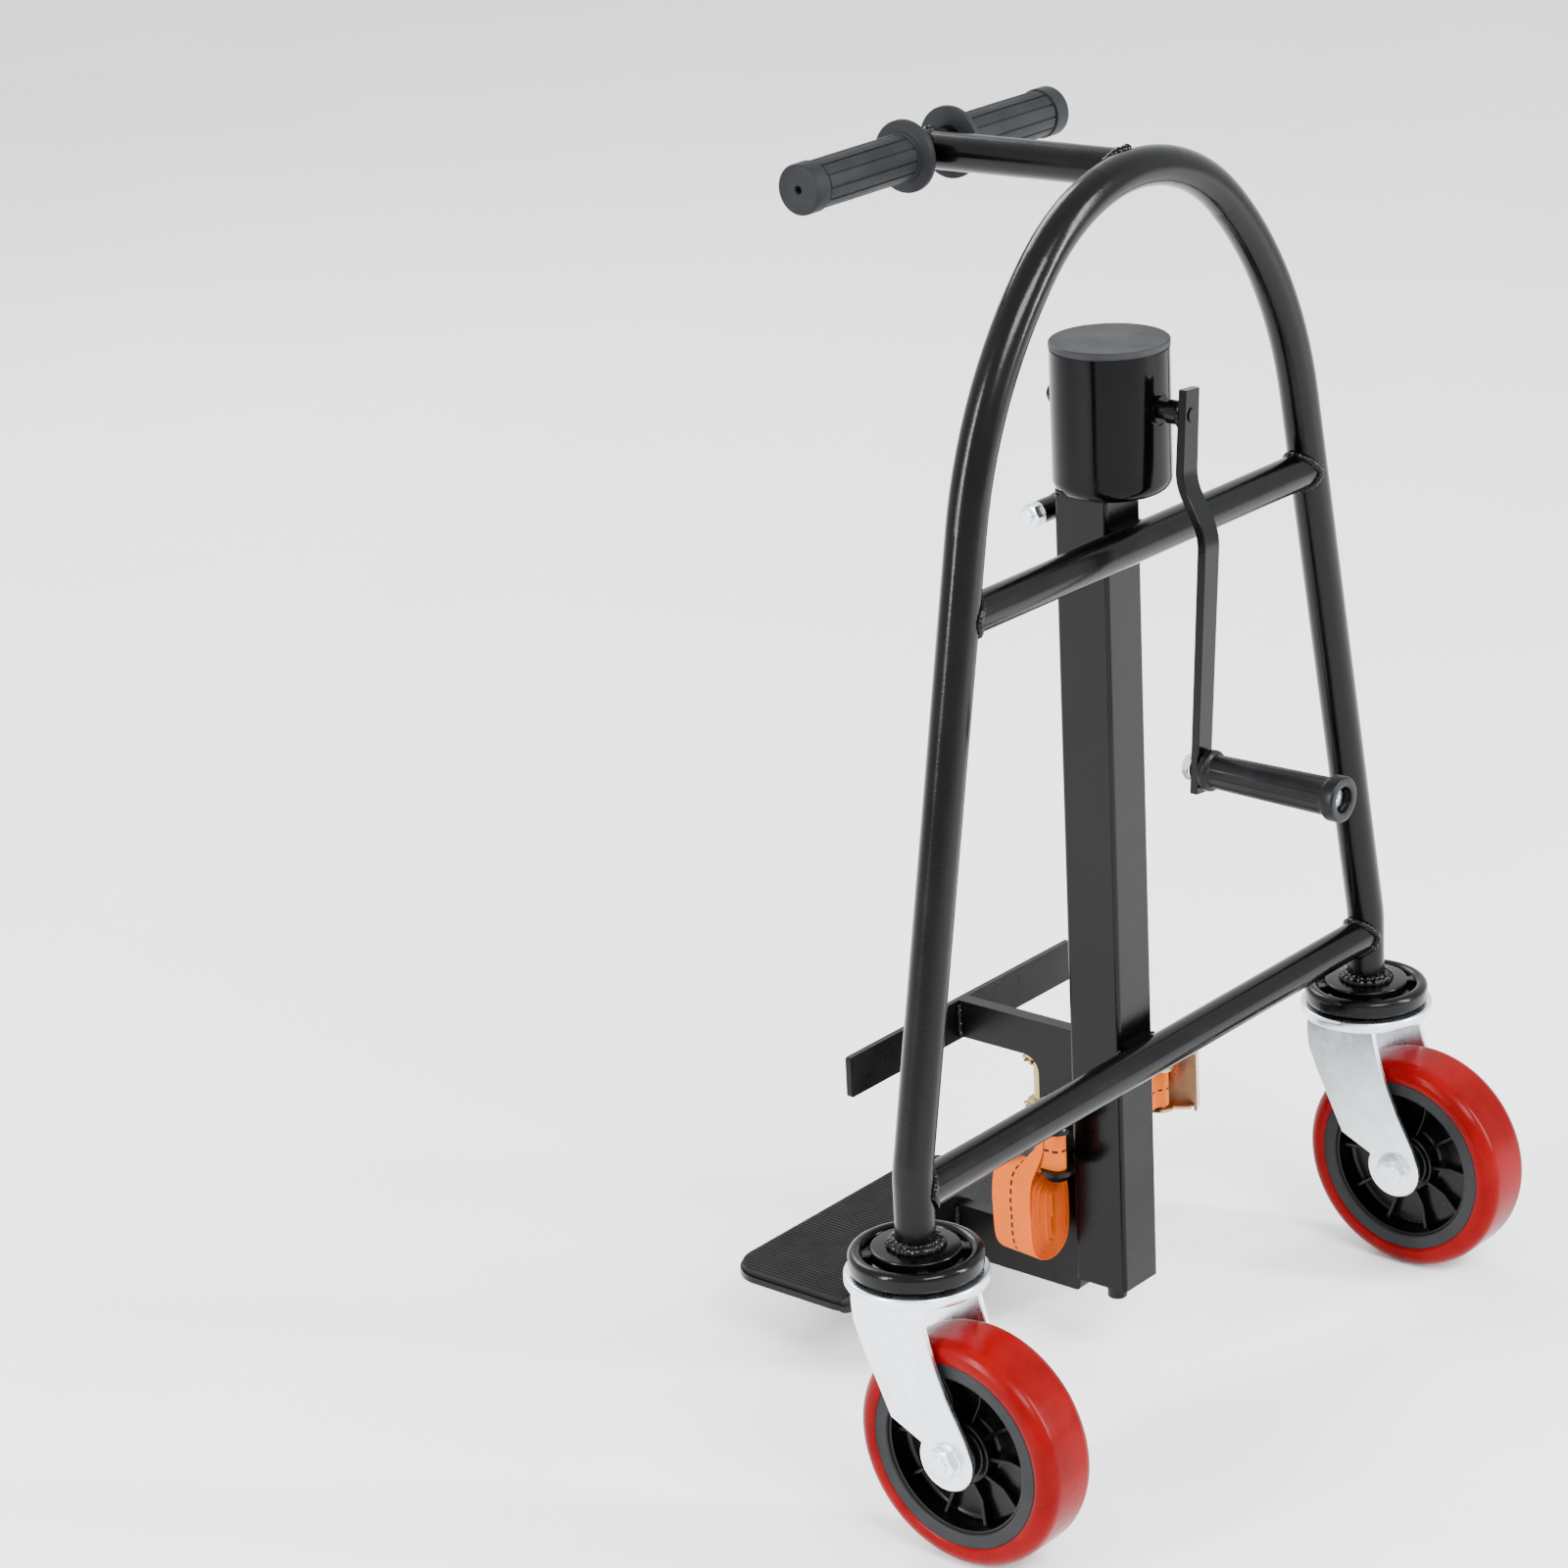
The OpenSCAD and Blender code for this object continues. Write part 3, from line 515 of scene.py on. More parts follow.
def frame_welds():
    for bar in ("upper_crossbar", "lower_crossbar"):
        bar_z = mid(bar).z
        lean = math.cos(LEG_LEAN) if bar == "upper_crossbar" else 1.0
        for side, label in ((1, "right"), (-1, "left")):
            path = []
            for a in turns(84):
                y, z = BAR_R * math.cos(a), bar_z + BAR_R * math.sin(a)
                x = leg_x(z) - math.sqrt(TUBE_R ** 2 - y ** 2) / lean - 0.8 * MM
                path.append(Vector((side * x, HOOP_Y + y, z)))
            centre = Vector((side * leg_x(bar_z), HOOP_Y, bar_z)) - X * side * 16 * MM
            weld(f"weld_{bar}_{label}", path, centre, 2.5 * MM, "frame")
            edge = Vector((side * COLUMN_HIGH.x, COLUMN_HIGH.y - 0.3 * MM, bar_z))
            weld(f"weld_column_{bar}_{label}", line_path(edge - Z * 7 * MM, edge + Z * 7 * MM),
                 Vector((0, COLUMN_HIGH.y - 0.01, bar_z)), 1.6 * MM, "frame", closed=False)


def handle_welds():
    bar = mid("handle_bar")
    slope = (mid("handle_stub").z - bar.z) / (mid("handle_stub").y - bar.y)
    path = []
    for a in turns(90):
        x, dz = BAR_R * math.cos(a), BAR_R * math.sin(a)
        reach = math.sqrt(max(0.0, HANDLE_R ** 2 - dz ** 2))
        path.append(Vector((x, bar.y + reach + 0.8 * MM, bar.z + dz + slope * reach)))
    weld("weld_handle_bar", path, bar + Y * 0.02, 2.6 * MM, "frame")
    top = Vector((0, HOOP_Y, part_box("hoop")[1].z - TUBE_R))
    path = []
    for a in turns(90):
        x, dz = BAR_R * math.cos(a), BAR_R * math.sin(a) + slope * -12 * MM
        reach = math.sqrt(max(0.0, TUBE_R ** 2 - dz ** 2))
        path.append(Vector((x, HOOP_Y - reach - 0.8 * MM, top.z + dz)))
    weld("weld_handle_hoop", path, top - Y * 0.02, 2.6 * MM, "frame")


def housing_weld():
    low, high = COLUMN_LOW, COLUMN_HIGH
    inset, z = 0.6 * MM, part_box("gear_housing")[0].z - 0.4 * MM
    left, right, back, front = low.x - inset, high.x + inset, low.y + 6 * MM, high.y + inset
    plan = ((left, front), (right, front), (right, back), (left, back))
    corners = [Vector((x, y, z)) for x, y in plan]
    path = []
    for a, b in zip(corners, corners[1:] + corners[:1]):
        path += line_path(a, b)[:-1]
    weld("weld_housing", path, (corners[0] + corners[2]) / 2, 2.8 * MM, "frame")


def lug_welds():
    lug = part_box("cross_bolt_lug")
    for x, label in ((lug[0].x, "outer"), (lug[1].x, "inner")):
        base = Vector((x, COLUMN_LOW.y - 0.5 * MM, mid("cross_bolt_lug").z))
        weld(f"weld_bolt_lug_{label}", line_path(base - Z * 8 * MM, base + Z * 8 * MM),
             Vector((mid("cross_bolt_lug").x, base.y, base.z)), 2.0 * MM, "frame", closed=False)


# ---- handle grips ----

def fluted(count, groove, start, end, depth):
    """Angles and a radius rule for a round grip with shallow lengthwise grooves."""
    pitch = 2 * math.pi / count
    steps = (-groove, -groove * 0.7, groove * 0.7, groove, pitch * 0.3, pitch * 0.5, pitch * 0.7)
    angles = [pitch * k + step for k in range(count) for step in steps]

    def radius(r, h, a):
        offset = (a + pitch / 2) % pitch - pitch / 2
        inside = start < h < end and abs(offset) < groove * 0.85
        return r - depth if inside else r
    return angles, radius


def bar_grip(name, node, side):
    low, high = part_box(node)
    inner = Vector((low.x if side > 0 else high.x, mid(node).y, mid(node).z))
    length = high.x - low.x
    angles, radius = fluted(12, math.radians(2.6), 9.1 * MM, 91.9 * MM, 1.0 * MM)
    mm = [(11.3, 0.3), (13, 0), (22, 0), *arc((22, 1), 1, -90, 0, 3), (23, 3.4),
          *arc((21.6, 3.4), 1.4, 0, 90, 3), (17.5, 5.2), (16.2, 5.6), (15.9, 7.2), (14.5, 7.8),
          (14.5, 8.8), (15.1, 9), (15.1, 9.3), (15.2, 50), (15.1, 91.7), (15.1, 92), (14.4, 92.3),
          (14.4, 93.6), (16, 94), *arc((14, length / MM - 2), 2, 0, 90, 5), (3.4, length / MM),
          *arc((3.4, length / MM - 0.9), 0.9, 90, 180, 3), (2.5, length / MM - 5)]
    shape = Shape()
    shape.lathe(metres(mm), stand(inner, X * side), radius=radius, angles=angles)
    shape.build(name, "grip_rubber", "frame", [node], sharp=28)


def crank_grip():
    base = mid("crank_grip")
    base.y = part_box("crank_grip")[0].y
    angles, radius = fluted(14, math.radians(3.0), 8 * MM, 88 * MM, 0.3 * MM)
    mm = [(5.6, 0), *arc((11.6, 1.4), 1.4, -90, 0, 3), *arc((11.6, 4.4), 1.4, 0, 80, 3),
          (10.9, 6.6), (10.6, 7.6), (10.7, 8.2), (11.2, 45), (11.8, 87.8), (12, 89), (12.4, 90.6),
          *arc((12.7, 92.6), 1.6, -90, 0, 3), *arc((12.7, 98.4), 1.6, 0, 90, 4), (9.4, 100),
          *arc((9.4, 98.6), 1.4, 90, 180, 3), (8, 90.2), (5.6, 90)]
    shape = Shape()
    shape.lathe(metres(mm), stand(base, Y), closed=True, radius=radius, angles=angles)
    shape.build("crank_grip_rubber", "crank_rubber", "crank_handle", ["crank_grip"], sharp=28)


def crank_arm():
    """Flat bar with two rounded bends, drawn in its own hanging frame."""
    low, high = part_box("crank_arm")
    lean = math.atan2(mid("crank_spindle").x, mid("crank_shaft").z - mid("crank_spindle").z)
    pivot = Vector((0, 0, mid("crank_shaft").z))
    hang = Matrix.Translation(pivot) @ Matrix.Rotation(-lean, 4, "Y")
    near, far, thick, half = low.y, high.y - 6 * MM, 6 * MM, 8 * MM
    corners = [(near, 16), (near, -42.2), (far, -72.2), (far, -234.8)]
    centre = [Vector((y + thick / 2, z * MM)) for y, z in corners]
    bend, steps = 9 * MM, 8
    line = [centre[0]]
    for a, b, c in zip(centre, centre[1:], centre[2:]):
        back = (a - b).normalized() * bend
        ahead = (c - b).normalized() * bend
        for k in range(steps + 1):
            t = k / steps
            line.append(b + back * (1 - t) ** 2 + ahead * t ** 2)
    line.append(centre[-1])
    verts, edge = [], 0.7 * MM
    ring = [(half - edge, thick / 2), (half, thick / 2 - edge), (half, edge - thick / 2),
            (half - edge, -thick / 2), (edge - half, -thick / 2), (-half, edge - thick / 2),
            (-half, thick / 2 - edge), (edge - half, thick / 2)]
    for i, (y, z) in enumerate(line):
        along = heading(line, i)
        pull = 0.94 if i in (0, len(line) - 1) else 1.0
        for x, t in ring:
            verts.append(hang @ Vector((x * pull, y - along.y * t * pull, z + along.x * t * pull)))
    shape = Shape()
    shape.add(verts, grid(len(line), len(ring)) + caps(len(ring), len(verts)))
    shape.build("crank_arm_bar", "frame_black", "crank", ["crank_arm"], sharp=40)
    seat = Vector((0, near - 0.6 * MM, pivot.z))
    weld("weld_crank_shaft", circle_path(stand(seat, Y), 7.8 * MM, 60), seat - Y * 0.01, 1.5 * MM,
         "crank", pitch=2.6 * MM)


def crank_spindle():
    low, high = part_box("crank_spindle")
    centre = mid("crank_spindle")
    shape = Shape()
    tip = stand(Vector((centre.x, low.y, centre.z)), Y)
    shape.thread(tip, 5 * MM, 0.5 * MM, 1.25 * MM, 1, 9 * MM)
    shape.lathe(metres([(4.95, 9), (4.95, 106)]), tip, steps=32)
    head = [(7.2, 0), (7.4, 0.6), (7.2, 3.6), *arc((5.4, 3.2), 1.8, 0, 90, 4), (3.4, 5), (3.1, 3.4)]
    seat = Vector((centre.x, high.y - 5 * MM, centre.z))
    shape.lathe(metres(head), stand(seat, Y), steps=48)
    shape.build("crank_spindle_bolt", "zinc", "crank", ["crank_spindle"])
    shape = Shape()
    seat = Vector((centre.x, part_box("spindle_nut")[1].y - 1 * MM, centre.z))
    shape.hexagon(stand(seat, -Y), 15 * MM, 5.5 * MM, True)
    shape.lathe(metres([(8.4, 0), (8.6, 0.3), (8.6, 0.8), (8.4, 1)]), stand(seat, Y), steps=48)
    shape.build("crank_spindle_nut", "zinc", "crank", ["spindle_nut"])


# ---- drive ----

def lead_screw():
    low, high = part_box("lead_screw")
    centre = mid("lead_screw")
    base = stand(Vector((centre.x, centre.y, low.z)), Z)
    end = Shape()
    collar = [(2.2, 1.6), (2.6, 0.5), (5.6, 0), (6.6, 1.0), (6.6, 12.4), (6.1, 12.9), (2.2, 12.9)]
    end.lathe(metres(collar), base, steps=56, closed=True)
    end.build("lead_screw_end", "hub_black", "screw")
    shape = Shape()
    shape.thread(stand(Vector((centre.x, centre.y, FOOT_TOP)), Z), 8 * MM, 1.5 * MM, 4 * MM, 2,
                 THREAD_TOP - FOOT_TOP, per_turn=7)
    journal, overlap = 6 * MM, 1 * MM
    shape.lathe([(journal, 12 * MM), (journal, FOOT_TOP - low.z + overlap)], base, steps=40)
    shape.lathe([(journal, THREAD_TOP - overlap), (journal, high.z)],
                stand(Vector((centre.x, centre.y, 0)), Z), steps=40)
    shape.build("lead_screw_thread", "steel", "screw", ["lead_screw"], sharp=50)


def cross_bolt():
    """M8 bolt along X with its head outwards, and its nut and washer."""
    low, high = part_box("cross_bolt")
    centre = mid("cross_bolt")
    head, tail, r = 5.3 * MM, 10 * MM, 4 * MM
    place = Vector((low.x + head, centre.y, centre.z))
    length = high.x - low.x - head
    shape = Shape()
    shape.hexagon(stand(place, -X), HEX_M8, head)
    shape.lathe([(r * 0.98, 0), (r * 0.98, length - tail)], stand(place, X), steps=32)
    shape.thread(stand(place + X * (length - tail), X), r, r * 0.12, r * 0.25, 1, tail)
    shape.build("cross_bolt_hex", "zinc", "frame", ["cross_bolt"])
    place.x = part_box("cross_bolt_nut")[0].x
    shape = Shape()
    shape.hexagon(stand(place + X * 1.5 * MM, X), HEX_M8, 6.4 * MM, True)
    shape.washer(place, X, 8 * MM, 1.5 * MM)
    shape.build("cross_bolt_hex_nut", "zinc", "frame", ["cross_bolt_nut"])


def shaft_nut():
    place = mid("shaft_nut")
    height = 5 * MM
    place.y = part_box("shaft_nut")[0].y + height
    shape = Shape()
    shape.hexagon(stand(place, -Y), HEX_M8, height, True)
    shape.washer(place, Y, 8 * MM, 1.4 * MM)
    shape.build("shaft_hex_nut", "carriage_black", "crank", ["shaft_nut"])


def lug_bolts():
    bolts, nuts = Shape(), Shape()
    low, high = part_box("lug_bolts")
    y, seat = mid("lug_bolts").y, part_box("lug_nuts")[0].z
    for side in (1, -1):
        x = side * (high.x - HEX_M8_REACH)
        bolts.hexagon(stand((x, y, low.z + 5 * MM), -Z), HEX_M8, 5 * MM)
        bolts.lathe(metres([(3.95, 0), (3.95, 36)]), stand((x, y, low.z + 4 * MM), Z), steps=32)
        bolts.thread(stand((x, y, low.z + 38 * MM), Z), 4 * MM, 0.5 * MM, 1.25 * MM, 1,
                     high.z - low.z - 38 * MM)
        nuts.hexagon(stand((x, y, seat + 1.4 * MM), Z), HEX_M8, 6.1 * MM, True)
        nuts.washer((x, y, seat), Z, 8 * MM, 1.4 * MM)
    bolts.build("lug_hex_bolts", "frame_black", "carriage", ["lug_bolts"])
    nuts.build("lug_hex_nuts", "zinc", "carriage", ["lug_nuts"])


# ---- toe plate pad ----

RIDGE_POINTS = 7


def pad_ribs():
    """Round ridges: front to back on the plate, side to side on the flange."""
    low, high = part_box("toe_pad")
    pitch, width, height = 3.3 * MM, 2.0 * MM, 0.9 * MM
    top, face = low.z + 3 * MM, high.y - 3 * MM
    half, corner, bend = high.x, 24 * MM, 10.5 * MM
    edge = 1.2 * MM
    shape = Shape()

    def ridge(start, end, across, up):
        length = (end - start).length
        along = (end - start).normalized()
        verts = []
        for s, size in ((0, 0.2), (0.8 * MM, 0.85), (2 * MM, 1), (length - 2 * MM, 1),
                        (length - 0.8 * MM, 0.85), (length, 0.2)):
            for k in range(RIDGE_POINTS):
                a = math.pi * k / (RIDGE_POINTS - 1)
                verts.append(start + along * s + across * (width / 2 * math.cos(a))
                             + up * (height * size * math.sin(a) - 0.05 * MM))
        rings = len(verts) // RIDGE_POINTS
        shape.add(verts, grid(rings, RIDGE_POINTS) + caps(RIDGE_POINTS, len(verts)))

    count = int((half - 2 * MM) / pitch)
    for k in range(-count, count + 1):
        x = k * pitch
        over = max(0.0, abs(x) + edge - (half - corner))
        front = low.y + corner - math.sqrt(max(0.0, corner ** 2 - over ** 2)) + edge
        ridge(Vector((x, front, top)), Vector((x, face - bend, top)), X, Z)
    rows = int((high.z - 2 * MM - (top + bend)) / pitch)
    corner = 29 * MM
    for k in range(rows + 1):
        z = top + bend + k * pitch
        over = max(0.0, z + edge - (high.z - corner))
        reach = half - corner + math.sqrt(max(0.0, corner ** 2 - over ** 2)) - edge
        ridge(Vector((-reach, face, z)), Vector((reach, face, z)), Z, -Y)
    shape.build("toe_pad_ribs", "pad_rubber", "carriage", sharp=60)


def carriage_welds():
    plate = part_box("carriage_plate")
    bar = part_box("load_bar")
    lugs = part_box("strap_lugs")
    for side, label in ((1, "right"), (-1, "left")):
        x = side * (plate[1].x + 0.4 * MM)
        y = bar[1].y + 0.5 * MM
        weld(f"weld_load_bar_{label}",
             line_path(Vector((x, y, bar[0].z + 2 * MM)), Vector((x, y, bar[1].z - 2 * MM))),
             Vector((0, y, mid("load_bar").z)), 2.6 * MM, "carriage", closed=False)
        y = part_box("toe_plate")[1].y + 0.5 * MM
        weld(f"weld_toe_plate_{label}", line_path(Vector((x, y, 62 * MM)), Vector((x, y, 84 * MM))),
             Vector((0, y, 0.07)), 2.8 * MM, "carriage", closed=False)
        for z, level in ((lugs[1].z + 0.4 * MM, "top"), (lugs[0].z - 0.4 * MM, "bottom")):
            start = Vector((x, lugs[0].y + 2 * MM, z))
            weld(f"weld_lug_{level}_{label}", line_path(start, start + Y * 26 * MM),
                 Vector((0, start.y, z)), 1.9 * MM, "carriage", closed=False)


# ---- casters ----

def caster_cap(x):
    base = stand((x, HOOP_Y, 0), Z)
    mm = [(6.2, 182.4), (17, 182.4), (17, 188.2), (26.6, 188.2), (26.6, 184.2), (40.4, 184.2),
          *arc((40, 186), 1.8, -80, 0, 3), (42, 191.6), *arc((37.6, 192), 4.4, 0, 180, 14),
          (33.2, 190.8), (31.4, 190.2), (29.6, 190.4), (28.2, 191.4), (28, 196.6),
          *arc((26.8, 196.8), 1.2, 0, 90, 3), (14, 198), (6.2, 198)]
    shape = Shape()
    shape.lathe(metres(mm), base, closed=True)
    for k in range(4):
        turn = base @ Matrix.Rotation(math.radians(45 + 90 * k), 4, "Z")
        tooth = metres([(-3.2, 26), (3.2, 26), (4.4, 33.6), (-4.4, 33.6)])
        shape.slab(tooth, turn @ Matrix.Translation((0, 0, 189.5 * MM)), 5.6 * MM, 0.8 * MM)
    return shape


def caster_caps():
    shape = Shape()
    for label, side in (("left", -1), ("right", 1)):
        cap = caster_cap(side * HALF_TRACK)
        shape.add(cap.verts, cap.faces)
        ring = stand((side * HALF_TRACK, HOOP_Y, 199.2 * MM), Z)
        centre = Vector((side * HALF_TRACK, HOOP_Y, 0.19))
        weld(f"weld_caster_{label}", circle_path(ring, 14.6 * MM, 110), centre, 3.6 * MM, "frame",
             pitch=4.6 * MM)
        lift = Matrix.Translation((0, 0, 2.6 * MM))
        weld(f"weld_caster_upper_{label}", circle_path(lift @ ring, 13.2 * MM, 100), centre,
             2.2 * MM, "frame", pitch=3.8 * MM)
    shape.build("caster_cap_rings", "frame_black", "frame", ["caster_caps"])


def fork_outline():
    """Side view of a fork leg, in metres from the swivel axis and the floor."""
    axle_y, axle_z = 40.0, 75.0
    right = [(23, 179), (25.4, 165), (29.2, 150), (34.6, 134), (42.4, 116), (54.6, 93)]
    left = [(-1.4, 93), (-13.4, 118), (-21.6, 135), (-28.2, 151), (-29.4, 163), (-29, 179)]
    lower = arc((axle_y, axle_z), 20, 22, -202, 20)
    return metres(right + lower + left)


def caster_fork(label, side):
    x = side * HALF_TRACK
    swivel = stand((x, HOOP_Y, 0), Z)
    shape = Shape()
    mm = [(6.2, 176), (30, 176), (38, 177.2), (42.6, 176.6), (44.4, 175.4), (45, 176.6),
          (45, 180.4), *arc((43.4, 180.6), 1.6, 0, 90, 4), (30, 181.9), (6.2, 181.9)]
    shape.lathe(metres(mm), swivel, closed=True)
    crown = [(-29.4, -29), (29.4, -29), (29.4, 23), (-29.4, 23)]
    shape.slab(metres(crown), Matrix.Translation((x, HOOP_Y, 173.6 * MM)), 3.2 * MM, 0.6 * MM)
    for inner in (-29.7, 25.7):
        across = Matrix.Translation((x + inner * MM, HOOP_Y, 0)) @ Matrix(
            ((0, 0, 1, 0), (1, 0, 0, 0), (0, 1, 0, 0), (0, 0, 0, 1)))
        shape.slab(fork_outline(), across, 4 * MM, 0.7 * MM)
    shape.build(f"caster_fork_{label}", "zinc", f"caster_{label}", [f"fork_{label}"], sharp=30)


def caster_axle(label, side):
    centre = Vector((side * HALF_TRACK, mid(f"axle_{label}").y, mid(f"axle_{label}").z))
    shape = Shape()
    for face in (-1, 1):
        seat = centre + X * face * 29.7 * MM
        shape.hexagon(stand(seat + X * face * 0.8 * MM, X * face), 19 * MM, 6.0 * MM, True)
        shape.lathe(metres([(11.6, 0), (12, 0.3), (12, 0.9), (11.4, 1.2)]), stand(seat, X * face),
                    steps=56)
    shape.lathe(metres([(7.95, -25.6), (7.95, 25.6)]), stand(centre, X), steps=48)
    shape.thread(stand(centre + X * 34 * MM, X), 6 * MM, 0.6 * MM, 1.5 * MM, 1, 4 * MM)
    shape.build(f"caster_axle_{label}", "zinc", f"caster_{label}", [f"axle_{label}"])


def wheel(label, side):
    centre = Vector((side * HALF_TRACK, mid(f"tread_{label}").y, mid(f"tread_{label}").z))
    body = f"wheel_{label}"
    axis = stand(centre, X)

    tread = Shape()
    half = [(61.2, 21.4), (62.6, 22.3), (64.4, 22.5), *arc((65.2, 12.7), 9.8, 90, 0, 16), (75, 6),
            (75, 0.25), (75, 0)]
    profile = half + [(r, -w) for r, w in reversed(half[:-1])] + [(61.2, -12), (61.2, 12)]
    tread.lathe(metres(profile), axis, steps=160, closed=True)
    tread.build(f"wheel_tread_{label}", "tread_red", body, [f"tread_{label}"], sharp=40)

    rim = Shape()
    half = [(61.1, 21.2), (60.6, 21.7), (53.4, 21.7), *arc((53.2, 20.5), 1.2, 90, 180, 3),
            (51.2, 6)]
    rim.lathe(metres(mirrored(half)), axis, steps=128, closed=True)
    rim.build(f"wheel_rim_ring_{label}", "rim_grey", body, [f"wheel_rim_{label}"])

    hub = Shape()
    half = [(51.4, 19.6), (50.2, 19.2), (49.0, 9.5), *arc((46, 8.0), 3.2, 0, -90, 4), (30, 4.4),
            *arc((24.5, 7.4), 3.0, -90, -180, 4), (21.2, 14.6), (20.4, 15.4), (17.6, 15.4),
            (16.8, 16.0), (16.4, 21.2), (15.6, 22), (8.4, 22)]
    hub.lathe(metres(mirrored(half)), axis, steps=112, closed=True)
    for k in range(10):
        for face in (1, -1):
            spoke = axis @ Matrix.Rotation(math.radians(36 * k), 4, "Z")
            turn = spoke @ Matrix.Rotation(math.radians(90), 4, "X")
            points = [(17, 12.6), (22, 12.6), (34, 9.6), (50, 12.8), (50, 3), (17, 3)]
            outline = [(r * MM, face * w * MM) for r, w in points]
            hub.slab(outline, turn @ Matrix.Translation((0, 0, -1.3 * MM)), 2.6 * MM, 0.4 * MM)
    hub.build(f"wheel_hub_dish_{label}", "hub_black", body, [f"wheel_hub_{label}"])


# ---- webbing ----

def ribbon(name, path, across, body, nodes=(), closed=False, wide=WEBBING):
    """Woven strap along a path; across holds the unit width direction at each point.

    The UV map runs over one webbing width, so that the stitched line stays in the middle."""
    cuts = (-1, -0.94, -0.5, 0, 0.5, 0.94, 1)
    verts, uvs, run = [], [], 0.0
    for i, (p, aim) in enumerate(zip(path, across)):
        up = heading(path, i, closed).cross(aim).normalized()
        run += (p - path[i - 1]).length if i else 0
        for face in (1, -1):
            for c in cuts[::face]:
                thin = WEB_THICK / 2 * (0.62 if abs(c) == 1 else 1)
                verts.append(p + aim * (c * wide / 2) + up * (face * thin))
                uvs.append(((c + 1) / 2 * WEBBING, run))
    cols = 2 * len(cuts)
    faces = grid(len(path), cols, close_rows=closed)
    if not closed:
        faces += caps(cols, len(verts))
    mesh = bpy.data.meshes.new(name)
    mesh.from_pydata([tuple(v) for v in verts], [], faces)
    mesh.materials.append(FINISH["webbing_orange"])
    mesh.materials.append(FINISH["webbing_edge"])
    layer = mesh.uv_layers.new(name="strap")
    for k, polygon in enumerate(mesh.polygons):
        polygon.use_smooth = True
        if k % cols in (len(cuts) - 1, cols - 1):
            polygon.material_index = 1
        for loop in polygon.loop_indices:
            layer.data[loop].uv = uvs[mesh.loops[loop].vertex_index]
    mesh.set_sharp_from_angle(angle=math.radians(50))
    obj = bpy.data.objects.new(name, mesh)
    attach(obj, body, nodes)
    length = sum((b - a).length for a, b in zip(path, path[1:]))
    if closed:
        length += (path[0] - path[-1]).length


def smooth(points, steps=8):
    """Catmull-Rom curve through points."""
    ends = [points[0] * 2 - points[1]] + points + [points[-1] * 2 - points[-2]]
    curve = []
    for a, b, c, d in zip(ends, ends[1:], ends[2:], ends[3:]):
        for k in range(steps):
            t = k / steps
            curve.append(0.5 * (2 * b + (c - a) * t + (2 * a - 5 * b + 4 * c - d) * t ** 2
                                + (3 * b - a - 3 * c + d) * t ** 3))
    return curve + [points[-1]]


def strap_roll():
    """The spare strap: an oval roll, turned a little, that hangs from the right lug bolt."""
    low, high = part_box("strap_roll")
    bolt_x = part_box("lug_bolts")[1].x - HEX_M8_REACH
    bolt = Vector((bolt_x, mid("lug_bolts").y, high.z - WEBBING / 2))
    turn = math.radians(-5)
    wide = Vector((-math.sin(turn), math.cos(turn), 0))
    side = Vector((math.cos(turn), math.sin(turn), 0))
    core = Vector((bolt.x - 7 * MM, bolt.y - 28 * MM, low.z + 33 * MM))
    layers, per_layer, straight = 11, 44, 13.5 * MM
    inner, outer = 2.4 * MM, 18.7 * MM
    path, across = [], []
    for k in range(layers * per_layer + 1):
        t = k / per_layer
        r = inner + (outer - inner) * t / layers
        r += 0.35 * MM * noise.noise(Vector((t * 1.7, 3.1, 0)))
        a = 2 * math.pi * (t % 1.0)
        slip = 4.2 * MM * (1 - t / layers) ** 1.3
        slip += 0.8 * MM * noise.noise(Vector((t * 0.9, 0, 7)))
        path.append(core + side * (r * math.cos(a)) + wide * slip
                    + Z * (r * math.sin(a) + straight * math.tanh(3.5 * math.sin(a))))
        across.append(wide.copy())
    end = path[-1]
    # the tail climbs to the bolt, turning its width upright, and ends in a loop round it
    tail = [end, end + side * 0.4 * MM + Z * 14 * MM, end - side * 3 * MM + Z * 30 * MM,
            Vector((bolt.x + 5.9 * MM, bolt.y - 20 * MM, bolt.z - 9 * MM)),
            Vector((bolt.x + 5.9 * MM, bolt.y - 12 * MM, bolt.z - 2 * MM)),
            Vector((bolt.x + 5.6 * MM, bolt.y - 5 * MM, bolt.z)), bolt + X * 5.4 * MM]
    climb = smooth(tail, 8)[1:]
    for i, p in enumerate(climb):
        t = (i + 1) / len(climb)
        lift = min(1.0, max(0.0, (t - 0.3) / 0.5))
        lift = math.pi / 2 * (1 - math.cos(math.pi * lift)) / 2
        path.append(p)
        across.append((wide * math.cos(lift) + Z * math.sin(lift)).normalized())
    loop_r = 5.4 * MM
    loop = [bolt + Vector((loop_r * math.cos(a), loop_r * math.sin(a), 0))
            for a in (math.radians(d) for d in range(12, 229, 12))]
    back = [bolt + Vector((x * MM, y * MM, z * MM))
            for x, y, z in ((-1.6, -7, 0), (1.6, -10.5, -0.4), (3.4, -14, -1))]
    for p in loop + smooth([loop[-1]] + back, 6)[1:]:
        path.append(p)
        across.append(Z.copy())
    ribbon("spare_strap_webbing", path, across, "spare_strap", ["strap_roll"], wide=ROLL_WEBBING)


def ratchet_frame():
    """Matrix of the ratchet: origin at its short-strap pin, x along it, z up."""
    spool = mid("ratchet_spool")
    turn = math.radians(-65.2)
    along = Vector((math.cos(turn), math.sin(turn), 0))
    return Matrix.Translation(spool - along * 80 * MM) @ Matrix.Rotation(turn, 4, "Z")


